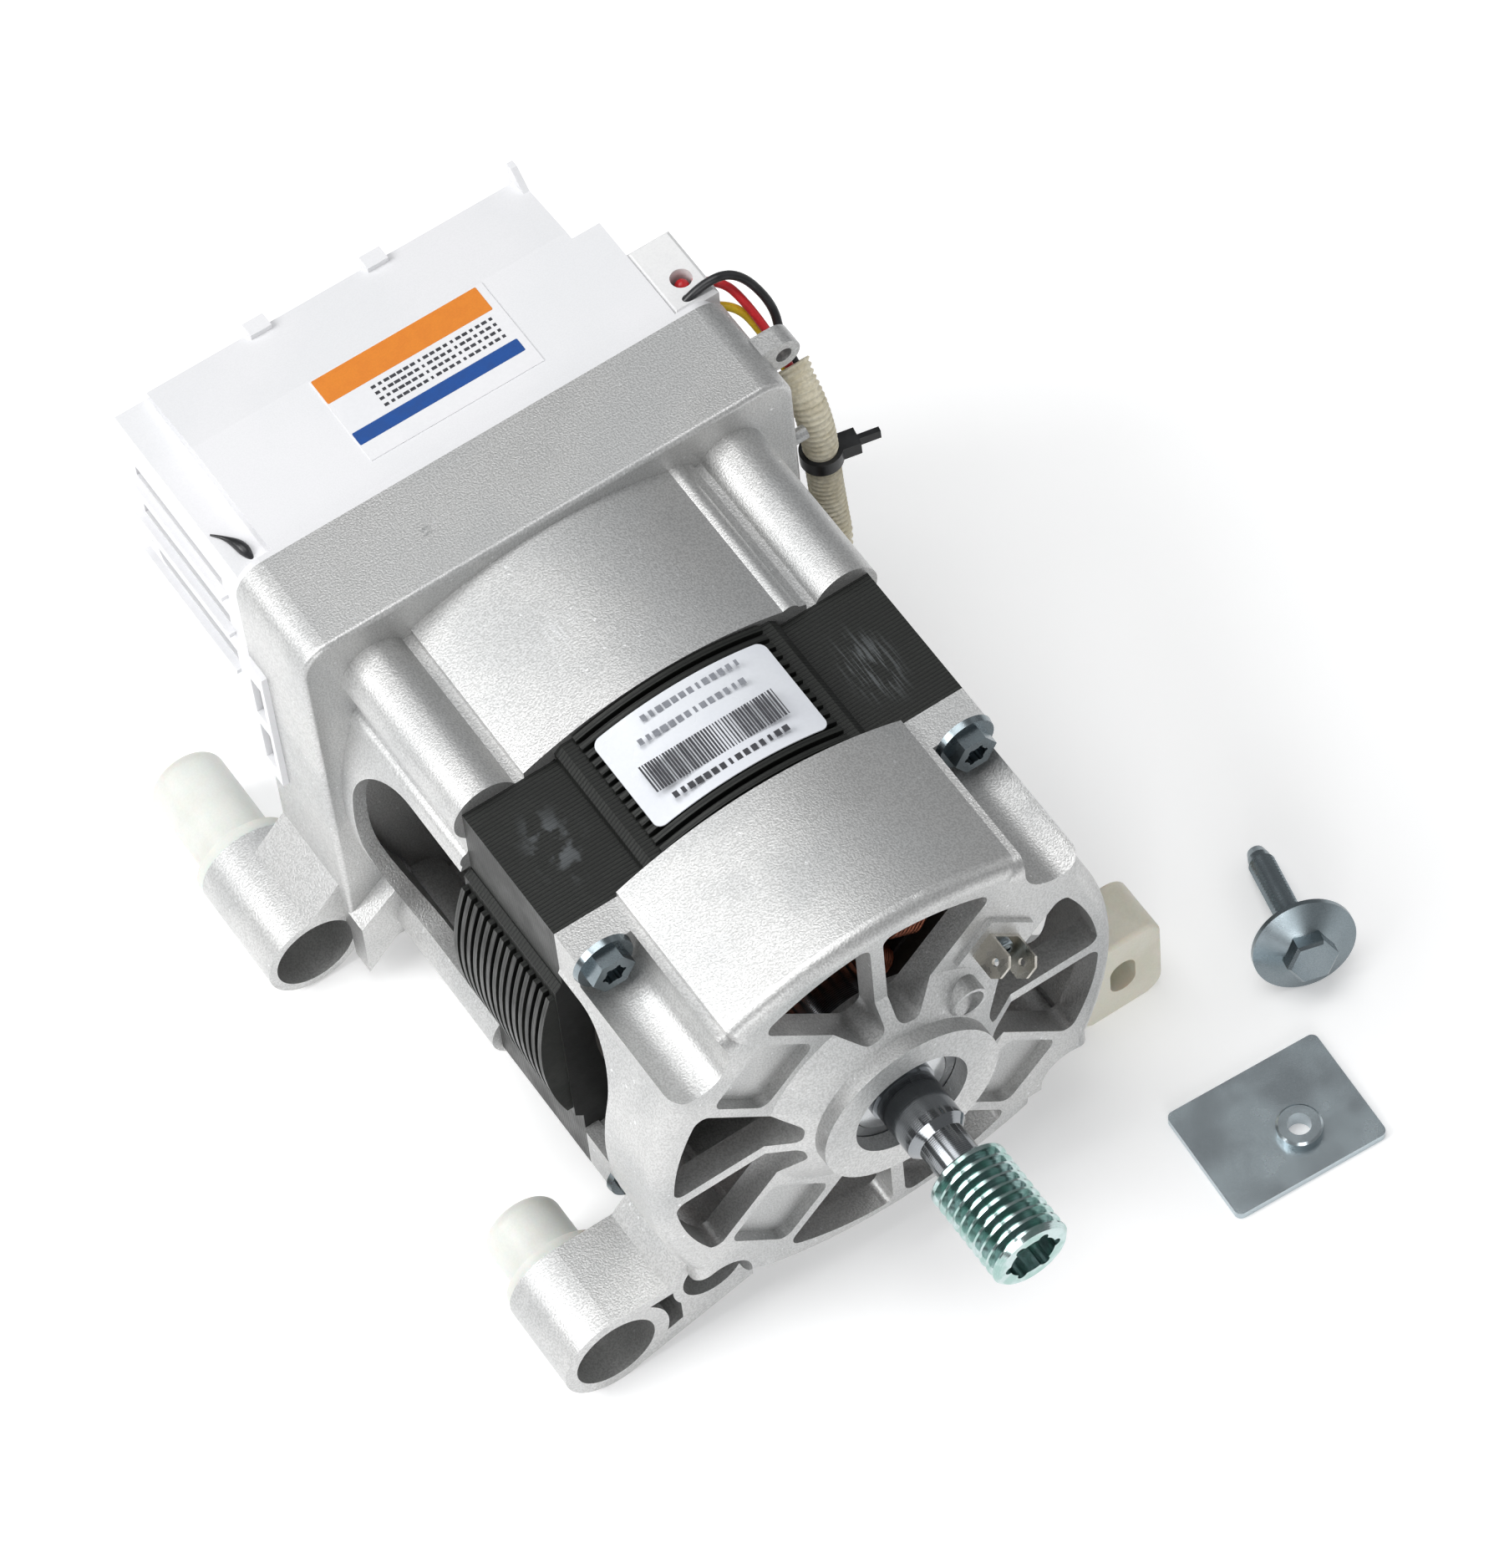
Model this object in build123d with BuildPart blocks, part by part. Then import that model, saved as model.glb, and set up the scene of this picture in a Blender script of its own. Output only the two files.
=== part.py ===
from build123d import *
from math import atan2, cos, degrees, pi, radians, sin, sqrt, tan
import os

os.makedirs("parts", exist_ok=True)

# Belt-drive washing machine motor with its drive electronics on the back.
# Frame: X to the right, Y from the pulley to the drive unit, Z up.
# Origin: on the shaft axis, at the middle of the belt grooves. All sizes are in millimetres.

# Belt pulley and the free length of the shaft
groove_count = 9
groove_pitch = 2.34
groove_depth = 1.9
groove_land = 0.5
pulley_radius = 8.9
pulley_end_land = 1.07
pulley_end_chamfer = 0.9
groove_root = 0.4
pulley_socket_radius = 5.4
pulley_socket_depth = 4.6
pulley_socket_lobe = 1.15
pulley_socket_lobes = 6
neck_length = 19.3

# Lengths of the castings and of the stator along the shaft
hub_height = 8.5
front_bracket_depth = 41.5
stator_length = 33.8
rear_barrel_length = 42.0
flange_depth = 25.2
cover_depth = 51.5

# Section of the castings and of the stator
flat_half_width = 48.8
flat_half_height = 46.7
arch_inset = 14.8
arch_edge_height = 48.4
arch_apex = 55.8
casting_wall = 3.2
front_wall = 6.0
front_edge_radius = 3.4
bolt_inset_x = 5.6
bolt_inset_z = 3.5
bolt_radius = 2.5
bolt_hole_clearance = 0.25
tool_trough_radius = 8.0
lower_trough_radius = 7.2
trough_wall = 2.4
bolt_pad_thickness = 8.2
column_radius = 7.8
side_rib_radius = 2.6
side_rib_offset = 29.8
overrun = 2.0

# Hub of the front bracket
hub_radius = 21.0
hub_foot_radius = 30.0
hub_cylinder_height = 3.6
hub_hole_radius = 13.5
hub_lip = 4.0

# Windows in the front wall
spoke_half_width = 11.4
window_outer_radius = 51.5
window_inner_radius = 23.0
window_rib = 3.0
window_corner_radius = 2.4
spoke_rib = 2.4
spoke_pocket_depth = 2.6
spoke_pocket_start = 31.6
spoke_pocket_end = 48.0
front_side_opening_depth = 23.0
front_side_opening_half_height = 32.0
front_side_opening_radius = 15.0

# Bearings
front_bearing_bore_radius = 7.5
front_bearing_outer_radius = 17.5
front_bearing_width = 11.0
rear_bearing_bore_radius = 6.0
rear_bearing_outer_radius = 16.0
rear_bearing_width = 10.0
ball_count = 8
ball_share = 0.298
race_shoulder_share = 0.55
race_gap = 0.05
cage_gap = 0.06
cage_thickness_share = 0.17
cage_width_share = 0.72
shield_thickness = 0.3
shield_gap = 0.25
wave_washer_thickness = 0.6
wave_washer_height = 1.6
wave_washer_radial_width = 3.0
bearing_seat_wall = 3.4

# Rotor
neck_radius = 5.2
neck_cone_length = 1.8
collar_radius = 6.9
shaft_collar_y = 22.2
shaft_end_gap = 0.6
rotor_radius = 27.3
magnet_thickness = 3.4
magnet_count = 8
magnet_gap_angle = 4.0
rotor_overhang = 1.4
end_plate_thickness = 1.6
core_shaft_radius = 9.0
end_plate_setback = 0.8
rotor_hole_radius = 4.2
rotor_hole_circle = 16.0
rotor_hole_count = 6

# Stator
air_gap = 0.6
slot_count = 12
tooth_width = 7.2
tooth_tip = 2.2
slot_outer_radius = 41.0
slot_opening = 2.6
plateau_half_width = 26.6
plateau_height = 50.6
plateau_chamfer = 1.6
fin_count = 14
fin_thickness = 1.3
fin_half_width = 22.4
fin_edge_height = 51.9
coil_thickness = 3.4
coil_radial_depth = 7.6
coil_clearance = 0.2
insulator_wall = 0.8
insulator_ring = 2.4
insulator_height = 3.0
insulator_flange_height = 10.5
part_clearance = 0.1

# Rear bracket
flange_margin_x = 10.6
flange_margin_z = 12.1
flange_corner_radius = 7.0
flange_wall = 3.0
flange_floor = 3.6
flange_edge_radius = 1.2
rear_window_depth = 38.0
rear_window_half_height = 27.0
rear_window_radius = 19.0
ear_radius = 4.0
ear_hole_radius = 1.9
ear_length = 5.0
ear_setback = 9.0
ear_reach = 3.6
ear_drop = 6.7
board_post_radius = 4.2
board_post_inset_x = 15.4
board_post_inset_z = 17.8

# Mounting lugs on the left, and their plugs
lug_reach_x = 18.8
lug_reach_z = 5.0
front_lug_radius = 12.3
rear_lug_radius = 11.5
lug_bore_radius = 9.5
front_lug_setback = 4.0
front_lug_length = 21.2
rear_lug_setback = 3.2
rear_lug_length = 26.9
lug_web = 3.0
spigot_radius = 6.0
plug_radius = 8.75
plug_tip_radius = 3.2
front_plug_length = 16.6
rear_plug_length = 27.4
plug_collar_thickness = 2.4
plug_collar_radius = 11.5
spigot_share = 0.8
arm_plate = 3.0
arm_root_height = 7.5
arm_root_reach = 5.0
arm_lower_drop = 2.8
arm_floor_gap = 1.5
arm_inner_x = 34.0
gusset_length = 5.8

# Slotted mounting bushing on the right
ear_plate_thickness = 6.0
bushing_front_y = 54.9
bushing_depth = 14.0
bushing_gap = 8.4
bushing_width = 20.2
bushing_height = 26.8
bushing_wall = 4.0
bushing_corner_radius = 5.0
bushing_edge_radius = 1.0
bushing_slot_width = 6.4
bushing_slot_height = 10.7
slot_relief = 0.8

# Through bolts, one at each corner
bolt_flange_radius = 6.8
bolt_flange_thickness = 1.4
bolt_head_radius = 5.0
bolt_head_height = 4.6
bolt_flange_taper = 12
bolt_socket_radius = 2.2
bolt_socket_lobe = 0.55
bolt_socket_depth = 2.6
bolt_grip_in_rear = 12.0

# Earth terminal on the front bracket's upper right spoke
earth_radius = 37.5
earth_pad_height = 1.2
earth_pad_size = 12.5
tab_width = 6.3
tab_thickness = 0.8
tab_length = 8.0
tab_gap = 8.6
tab_hole_radius = 0.85
tab_hole_share = 0.62
tab_tip_chamfer = 1.6
earth_screw_radius = 2.0
earth_screw_head_radius = 3.0
earth_screw_head_height = 1.6
earth_screw_length = 5.0
earth_screw_slot = 0.9
stake_radius = 4.2
stake_ring = 0.8
stake_height = 0.5
stake_distance = 24.6

# Label on the finned top
label_width = 41.0
label_length = 24.6
label_thickness = 0.3
label_corner_radius = 2.0

# White cover of the drive unit
cover_top_z = 57.0
cover_top_inset = 10.4
cover_shoulder_z = 53.0
cover_left_inset = 2.4
cover_bottom_z = 50.0
cover_bottom_left_inset = 18.4
cover_knee_front_z = -12.0
cover_knee_rear_z = 13.0
cover_wall = 2.2
cover_step_inset = 17.2
cover_step_y_share = 0.6
cover_slope_drop = 2.0
cover_slope_start_share = 0.64
cover_rim_thickness = 2.2
cover_rim_inset = 1.4
knee_front_share = 0.17
knee_rear_share = 0.885
louvre_count = 3
louvre_top_z = 40.0
louvre_pitch = 13.8
louvre_height = 3.2
louvre_length = 34.0
louvre_start_share = 0.235
ledge_thickness = 1.2
ledge_reach = 1.6
clip_front_y = 175.0
clip_top_z = 30.0
clip_bottom_z = -11.0
clip_thickness = 1.4
clip_window_count = 2
clip_window_top_z = 18.0
clip_window_pitch = 17.5
clip_window_length = 4.0
clip_window_height = 13.0
rear_hook_width = 5.0
rear_hook_height = 1.6
rear_hook_reach = 1.8
rear_hook_places = (-22.0, 6.5)
corner_fin_height = 4.6
corner_fin_length = 7.0
corner_fin_thickness = 1.5
cover_screw_inset_x = 7.2
cover_screw_inset_z = 7.4
cover_screw_length = 9.0
cover_boss_radius = 4.6
cover_boss_depth = 14.0

# Sticker on the cover
sticker_width = 42.0
sticker_length = 24.0
sticker_thickness = 0.2
sticker_crease_gap = 0.4

# Electronics behind the rear bracket
board_y_gap = 9.0
board_thickness = 1.6
board_margin_x = 11.4
board_margin_z = 12.8
board_shift_x = -2.5
screw_radius = 1.45
screw_head_radius = 2.9
screw_head_height = 2.0
board_screw_length = 8.0
module_width = 44.0
module_height = 25.0
module_pin_height = 4.0
module_pin_count = 12
module_pin_pitch = 3.5
module_x = -8.0
module_z = -20.0
capacitor_radius = 12.5
capacitor_length = 40.0
capacitor_x = -26.0
capacitor_z = 20.0
capacitor_pitch = 27.0
capacitor_edge_radius = 1.5
choke_outer_radius = 13.0
choke_inner_radius = 6.0
choke_thickness = 12.0
choke_inset_x = 19.5
choke_inset_z = 16.0
choke_edge_radius = 3.0
relay_width = 15.0
relay_height = 20.0
relay_depth = 19.0
relay_inset_x = 18.5
relay_z = -4.0
header_width = 28.0
header_height = 11.0
header_socket_length = 16.0
header_wall = 1.4
header_gap = 0.2
header_rim_step = 3.4
header_x = -6.0
header_pin_count = 5
header_pin_width = 1.0
header_pin_pitch = 5.0
header_pin_setback = 2.0

# Connector block of the motor leads, on the cover's right side
lead_block_width = 10.6
lead_block_length = 19.0
lead_block_height = 24.0
block_edge = 0.8
block_hole_shift = 0.6
block_hole_y = 7.0
lead_block_hole_radius = 2.4
lead_block_hole_depth = 9.0

# Motor leads, their sleeve and its tie; each run is a list of points chosen by hand, as steps to the
# right of the flange's side and to the rear of its front, and a height
lead_radius = 1.0
sleeve_radius = 3.6
sleeve_bore_radius = 2.95
bend_share = 0.45
sleeve_run = [
    (6.8, 12.5, 41.4),
    (6.8, 3.7, 36.4),
    (6.4, 1.7, 9.0),
    (4.0, -6.1, -7.6),
    (-9.4, -13.1, -9.4),
]
red_run = [(-2.2, 34.1, 54.4), (2.8, 31.1, 54.2), (4.9, 25.7, 51.4)]
yellow_run = [(-1.8, 29.7, 49.6), (3.6, 27.7, 49.8)]
black_run = [(-8.2, 29.7, 54.8), (-3.0, 29.2, 59.7), (5.2, 28.1, 59.0), (10.0, 22.7, 49.4)]
red_shift = (-0.64, -0.88, 1.24)
yellow_shift = (-0.93, 1.36, -0.17)
black_shift = (1.42, 0.03, -0.85)
red_coil_angle = 30
yellow_coil_angle = 0
black_coil_angle = -30
coil_contact_radius = 35.0
lead_drop = 10.0
lead_mouth_reach = 6.0
lead_outlet_reach = 8.0
peg_radius = 1.6
peg_length = 3.0
peg_setback = 2.1
peg_z = 33.0
tie_band_width = 3.4
tie_band_thickness = 1.1
tie_head = 4.6
tie_tail = 5.0
tie_tail_thickness = 1.3
tie_z = 21.0
tie_direction = (1.0, -0.2, 0.1)

# Loose screw and nut plate that lie beside the motor
loose_screw_radius = 3.0
loose_screw_length = 30.0
loose_screw_tip = 2.0
loose_flange_radius = 11.5
loose_flange_thickness = 1.2
loose_flange_cone = 2.4
loose_hex_flats = 10.0
loose_hex_height = 6.0
loose_thread_pitch = 1.0
loose_thread_depth = 0.5
loose_hex_chamfer = 0.6
loose_screw_x = 103.5
loose_screw_y = 40.8
loose_screw_heading = 15.5
nut_plate_length = 37.0
nut_plate_width = 28.5
nut_plate_thickness = 2.0
nut_plate_corner_radius = 1.6
nut_collar_radius = 5.0
nut_collar_height = 2.6
nut_collar_chamfer = 0.5
nut_hole_radius = 2.6
nut_hole_shift_x = 3.2
nut_hole_shift_y = -3.8
nut_plate_x = 76.4
nut_plate_y = 12.6
nut_plate_heading = -3.0

# Places across the shaft that follow from the main section
arch_half_width = flat_half_width - arch_inset
bolt_x = flat_half_width - bolt_inset_x
bolt_z = flat_half_height - bolt_inset_z
flange_half_width = flat_half_width + flange_margin_x
flange_half_height = flat_half_height + flange_margin_z
lug_x = flat_half_width + lug_reach_x
lug_z = flat_half_height + lug_reach_z
floor_z = lug_z + front_lug_radius
bushing_inner_x = flat_half_width + bushing_gap
cover_half_top = flange_half_width - cover_top_inset
cover_left_x = flange_half_width - cover_left_inset
cover_bottom_left_x = flange_half_width - cover_bottom_left_inset
cover_step_x = flange_half_width - cover_step_inset
board_width = 2 * (flange_half_width - board_margin_x)
board_height = 2 * (flange_half_height - board_margin_z)
board_post_x = flange_half_width - board_post_inset_x
board_post_z = flange_half_height - board_post_inset_z
choke_x = board_width / 2 + board_shift_x - choke_inset_x
choke_z = board_height / 2 - choke_inset_z
relay_x = board_width / 2 + board_shift_x - relay_inset_x
ear_x = flange_half_width + ear_reach
ear_z = flange_half_height - ear_drop
cover_screw_x = flange_half_width - cover_screw_inset_x
cover_screw_z = flange_half_height - cover_screw_inset_z
cover_screw_spots = [(-cover_screw_x, -cover_screw_z), (cover_screw_x, -cover_screw_z)]

# Stations along the shaft that follow from the sizes above
pulley_length = groove_count * groove_pitch + 2 * pulley_end_land
hub_face_y = pulley_length / 2 + neck_length
front_face_y = hub_face_y + hub_height
stator_front_y = front_face_y + front_bracket_depth
stator_rear_y = stator_front_y + stator_length
flange_front_y = stator_rear_y + rear_barrel_length
flange_rear_y = flange_front_y + flange_depth
front_lug_front_y = front_face_y + front_lug_setback
rear_lug_front_y = flange_front_y + rear_lug_setback
cover_rear_y = flange_rear_y + cover_depth
bore_radius = rotor_radius + air_gap
front_bearing_y = hub_face_y + hub_lip
front_bearing_rear_y = front_bearing_y + front_bearing_width
seat_floor_y = flange_front_y
rear_bearing_rear_y = seat_floor_y - wave_washer_height
rear_bearing_y = rear_bearing_rear_y - rear_bearing_width
bolt_head_y = stator_front_y - bolt_pad_thickness
board_y = flange_front_y + flange_floor + board_y_gap
corners = [(sx * bolt_x, sz * bolt_z) for sx in (-1, 1) for sz in (-1, 1)]


def beside_flange(run):
    """The points of a run in the motor's frame."""
    side, front = flange_half_width, flange_front_y
    return [(side + right, front + setback, height) for right, setback, height in run]


sleeve_route = beside_flange(sleeve_run)
red_start = beside_flange(red_run)
yellow_start = beside_flange(yellow_run)
black_start = beside_flange(black_run)


def square_to_shaft(y):
    """The plane at station y that faces the pulley, with X to the right and Z up."""
    return Plane.XZ.offset(-y)


def four_sides():
    """Quarter turns about the shaft, one for each side of the motor."""
    return PolarLocations(0, 4)


def arch_face(half_width, edge_height, apex):
    """One arched side of the section, from the shaft out to its curved top."""
    with BuildSketch(Plane.XY) as face:
        with BuildLine():
            Line((-half_width, 0), (-half_width, edge_height))
            ThreePointArc((-half_width, edge_height), (0, apex), (half_width, edge_height))
            Polyline((half_width, edge_height), (half_width, 0), (-half_width, 0))
        make_face()
    return face.sketch_local


def arched_square(inset):
    """The section that both castings share: flat corners between four arched sides."""
    arch = arch_face(arch_half_width - inset, arch_edge_height - inset, arch_apex - inset)
    with BuildSketch(Plane.XY) as section:
        Rectangle(2 * (flat_half_width - inset), 2 * (flat_half_height - inset))
        with four_sides():
            add(arch)
    return section.sketch_local


def arc_segment(inner_radius, outer_radius, sweep):
    """A ring segment centred on the local Y axis."""
    half = radians(sweep / 2)
    with BuildSketch(Plane.XY) as segment:
        with BuildLine():
            outer = ThreePointArc(
                (-outer_radius * sin(half), outer_radius * cos(half)),
                (0, outer_radius),
                (outer_radius * sin(half), outer_radius * cos(half)),
            )
            inner = ThreePointArc(
                (-inner_radius * sin(half), inner_radius * cos(half)),
                (0, inner_radius),
                (inner_radius * sin(half), inner_radius * cos(half)),
            )
            Line(outer @ 0, inner @ 0)
            Line(outer @ 1, inner @ 1)
        make_face()
    return segment.sketch_local


def finish(builder, name):
    """Names a finished piece and writes it to its own file."""
    builder.part.label = name
    export_step(builder.part, f"parts/{name}.step")


# Front bracket: a die-cast shell with arched sides, a spoked front wall and the front bearing's hub
front_floor_y = front_face_y + front_wall
hub_rear_y = front_bearing_rear_y + overrun
lug_arm_top = -(lug_z - front_lug_radius)
front_spigot_end_y = front_lug_front_y + front_lug_length + front_plug_length * spigot_share
ear_plate_y = bushing_front_y + (bushing_depth - ear_plate_thickness) / 2
bushing_centre_x = bushing_inner_x + bushing_width / 2
bushing_centre_z = bushing_height / 2 - floor_z
ear_half_height = bushing_height / 2 - bushing_wall
ear_outer_x = bushing_inner_x + bushing_width - bushing_wall

with BuildPart() as front_bracket:
    with BuildSketch(square_to_shaft(stator_front_y)):
        add(arched_square(0))
    extrude(amount=front_bracket_depth)
    fillet(front_bracket.faces().sort_by(Axis.Y)[0].edges(), front_edge_radius)
    with BuildSketch(square_to_shaft(stator_front_y)):
        add(arched_square(casting_wall))
        with Locations(corners):
            Circle(tool_trough_radius + trough_wall, mode=Mode.SUBTRACT)
    extrude(amount=front_bracket_depth - front_wall, mode=Mode.SUBTRACT)
    with BuildSketch(Plane.XY):
        Polygon(
            (0, hub_rear_y),
            (hub_radius, hub_rear_y),
            (hub_radius, front_floor_y),
            (hub_foot_radius, front_floor_y),
            (hub_foot_radius, front_face_y),
            (hub_radius, hub_face_y + hub_cylinder_height),
            (hub_radius, hub_face_y),
            (0, hub_face_y),
            align=None,
        )
    revolve(axis=Axis.Y)
    # Left arm to the lug tube
    with BuildSketch(square_to_shaft(front_lug_front_y + front_lug_length)):
        Polygon(
            (-flat_half_width + casting_wall / 2, lug_arm_top + arm_root_height),
            (-flat_half_width - arm_root_reach, lug_arm_top),
            (-lug_x, lug_arm_top),
            (-lug_x, -lug_z),
            (-lug_x + front_lug_radius / 2, -floor_z + arm_floor_gap),
            (-arm_inner_x, -arch_apex + arm_lower_drop / 2),
            (-arm_inner_x, -flat_half_height + casting_wall / 2),
            align=None,
        )
        with Locations((-lug_x, -lug_z)):
            Circle(front_lug_radius)
    extrude(amount=front_lug_length)
    # Right arm to the slotted bushing
    with BuildSketch(square_to_shaft(ear_plate_y + ear_plate_thickness)):
        Polygon(
            (flat_half_width - casting_wall / 2, bushing_centre_z + ear_half_height * 2),
            (bushing_inner_x, bushing_centre_z + ear_half_height + casting_wall),
            (ear_outer_x, bushing_centre_z + ear_half_height),
            (ear_outer_x, bushing_centre_z - ear_half_height),
            (bushing_inner_x, bushing_centre_z - ear_half_height),
            (flat_half_width - casting_wall, -bolt_z),
            align=None,
        )
    extrude(amount=ear_plate_thickness)
    # Inside of the hub: shaft hole and bearing seat
    with BuildSketch(square_to_shaft(hub_rear_y)):
        Circle(front_bearing_outer_radius)
    extrude(amount=hub_rear_y - front_bearing_y, mode=Mode.SUBTRACT)
    with BuildSketch(square_to_shaft(hub_rear_y)):
        Circle(hub_hole_radius)
    extrude(amount=hub_rear_y - hub_face_y + overrun, mode=Mode.SUBTRACT)
    # Windows of the front wall, two on each side of the motor
    with BuildSketch(square_to_shaft(front_floor_y + overrun)):
        spoke_cross = spoke_half_width * sqrt(2)
        window_reach = window_outer_radius + spoke_cross
        with four_sides():
            Polygon(
                (0, spoke_cross),
                (window_reach, spoke_cross + window_reach),
                (-window_reach, spoke_cross + window_reach),
                align=None,
            )
        Circle(window_outer_radius, mode=Mode.INTERSECT)
        Circle(window_inner_radius, mode=Mode.SUBTRACT)
        Rectangle(window_rib, 2 * window_reach, mode=Mode.SUBTRACT)
        Rectangle(2 * window_reach, window_rib, mode=Mode.SUBTRACT)
        fillet(vertices(), window_corner_radius)
    extrude(amount=front_floor_y - hub_face_y + 2 * overrun, mode=Mode.SUBTRACT)
    # Pockets that leave a rib along both edges of each spoke, except the one with the earth terminal
    spoke_pocket_middle = (spoke_pocket_start + spoke_pocket_end) / 2
    with BuildSketch(square_to_shaft(front_face_y + spoke_pocket_depth)):
        for heading in (135, 225, 315):
            pocket_x = spoke_pocket_middle * cos(radians(heading))
            pocket_z = spoke_pocket_middle * sin(radians(heading))
            with Locations(Location((pocket_x, pocket_z, 0), (0, 0, heading))):
                RectangleRounded(
                    spoke_pocket_end - spoke_pocket_start,
                    2 * (spoke_half_width - spoke_rib),
                    window_corner_radius,
                )
    extrude(amount=spoke_pocket_depth + overrun, mode=Mode.SUBTRACT)
    # Troughs for the socket that drives the through bolts
    with BuildSketch(square_to_shaft(bolt_head_y)):
        with Locations([spot for spot in corners if spot[1] > 0]):
            Circle(tool_trough_radius)
        with Locations([spot for spot in corners if spot[1] < 0]):
            Circle(lower_trough_radius)
    extrude(amount=bolt_head_y - hub_face_y, mode=Mode.SUBTRACT)
    with BuildSketch(square_to_shaft(stator_front_y)):
        with Locations(corners):
            Circle(bolt_radius + bolt_hole_clearance)
    extrude(amount=front_bracket_depth, mode=Mode.SUBTRACT)
    # Side openings next to the stator
    with BuildSketch(Plane.YZ.offset(flat_half_width - 2 * casting_wall)):
        with Locations((stator_front_y, 0)):
            RectangleRounded(
                2 * front_side_opening_depth,
                2 * front_side_opening_half_height,
                front_side_opening_radius,
            )
    extrude(amount=arch_apex, mode=Mode.SUBTRACT)
    with BuildSketch(Plane.YZ.offset(-flat_half_width + 2 * casting_wall)):
        with Locations((stator_front_y, 0)):
            RectangleRounded(
                2 * front_side_opening_depth,
                2 * front_side_opening_half_height,
                front_side_opening_radius,
            )
    extrude(amount=-arch_apex, mode=Mode.SUBTRACT)
    # Bore of the lug, closed at the back, and the spigot that carries its plug
    with BuildSketch(square_to_shaft(front_lug_front_y + front_lug_length - lug_web)):
        with Locations((-lug_x, -lug_z)):
            Circle(lug_bore_radius)
    extrude(amount=front_lug_length, mode=Mode.SUBTRACT)
    with BuildSketch(square_to_shaft(front_spigot_end_y)):
        with Locations((-lug_x, -lug_z)):
            Circle(spigot_radius)
    extrude(amount=front_plug_length * spigot_share + lug_web / 2)
    # Pocket between the lug tube and the trough, open to the front
    with BuildSketch(square_to_shaft(front_lug_front_y + front_lug_length - lug_web)):
        Polygon(
            (-flat_half_width - arm_root_reach / 2, lug_arm_top - arm_plate),
            (-lug_x + front_lug_radius / 2, lug_arm_top - arm_plate),
            (-lug_x + front_lug_radius / 2, -lug_z - front_lug_radius / 2),
            (-flat_half_width - arm_root_reach / 2, -lug_z - arm_lower_drop),
            align=None,
        )
        with Locations((-lug_x, -lug_z)):
            Circle(front_lug_radius + arm_plate / 4, mode=Mode.SUBTRACT)
        with Locations((-bolt_x, -bolt_z)):
            Circle(lower_trough_radius + trough_wall, mode=Mode.SUBTRACT)
    extrude(amount=front_lug_length, mode=Mode.SUBTRACT)
    # Slot through the right arm, wider than the bushing's own slot
    with BuildSketch(square_to_shaft(bushing_front_y + bushing_depth)):
        with Locations((bushing_centre_x, bushing_centre_z)):
            RectangleRounded(
                bushing_slot_width + 2 * slot_relief,
                bushing_slot_height + 2 * slot_relief,
                bushing_slot_width / 2,
            )
    extrude(amount=bushing_depth, mode=Mode.SUBTRACT)
    # Pad of the earth terminal and the stake ring beside it, on the upper right spoke
    earth_x = earth_radius / sqrt(2)
    with BuildSketch(square_to_shaft(front_face_y + earth_pad_height)):
        with Locations(Location((earth_x, earth_x, 0), (0, 0, 45))):
            Rectangle(earth_pad_size, earth_pad_size + earth_pad_height)
    extrude(amount=2 * earth_pad_height)
    with BuildSketch(square_to_shaft(front_face_y)):
        with Locations((stake_distance / sqrt(2), stake_distance / sqrt(2))):
            Circle(stake_radius)
            Circle(stake_radius - stake_ring, mode=Mode.SUBTRACT)
    extrude(amount=stake_height + hub_height / 2)
    with BuildSketch(square_to_shaft(front_face_y + earth_screw_length)):
        with Locations((earth_x, earth_x)):
            Circle(earth_screw_radius)
    extrude(amount=earth_screw_length + 2 * earth_pad_height, mode=Mode.SUBTRACT)
finish(front_bracket, "front_bracket")


# Rear bracket: a barrel behind the stator that widens into a box for the electronics
flange_floor_y = flange_front_y + flange_floor
rear_lug_rear_y = rear_lug_front_y + rear_lug_length
seat_front_y = rear_bearing_y - overrun

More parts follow.
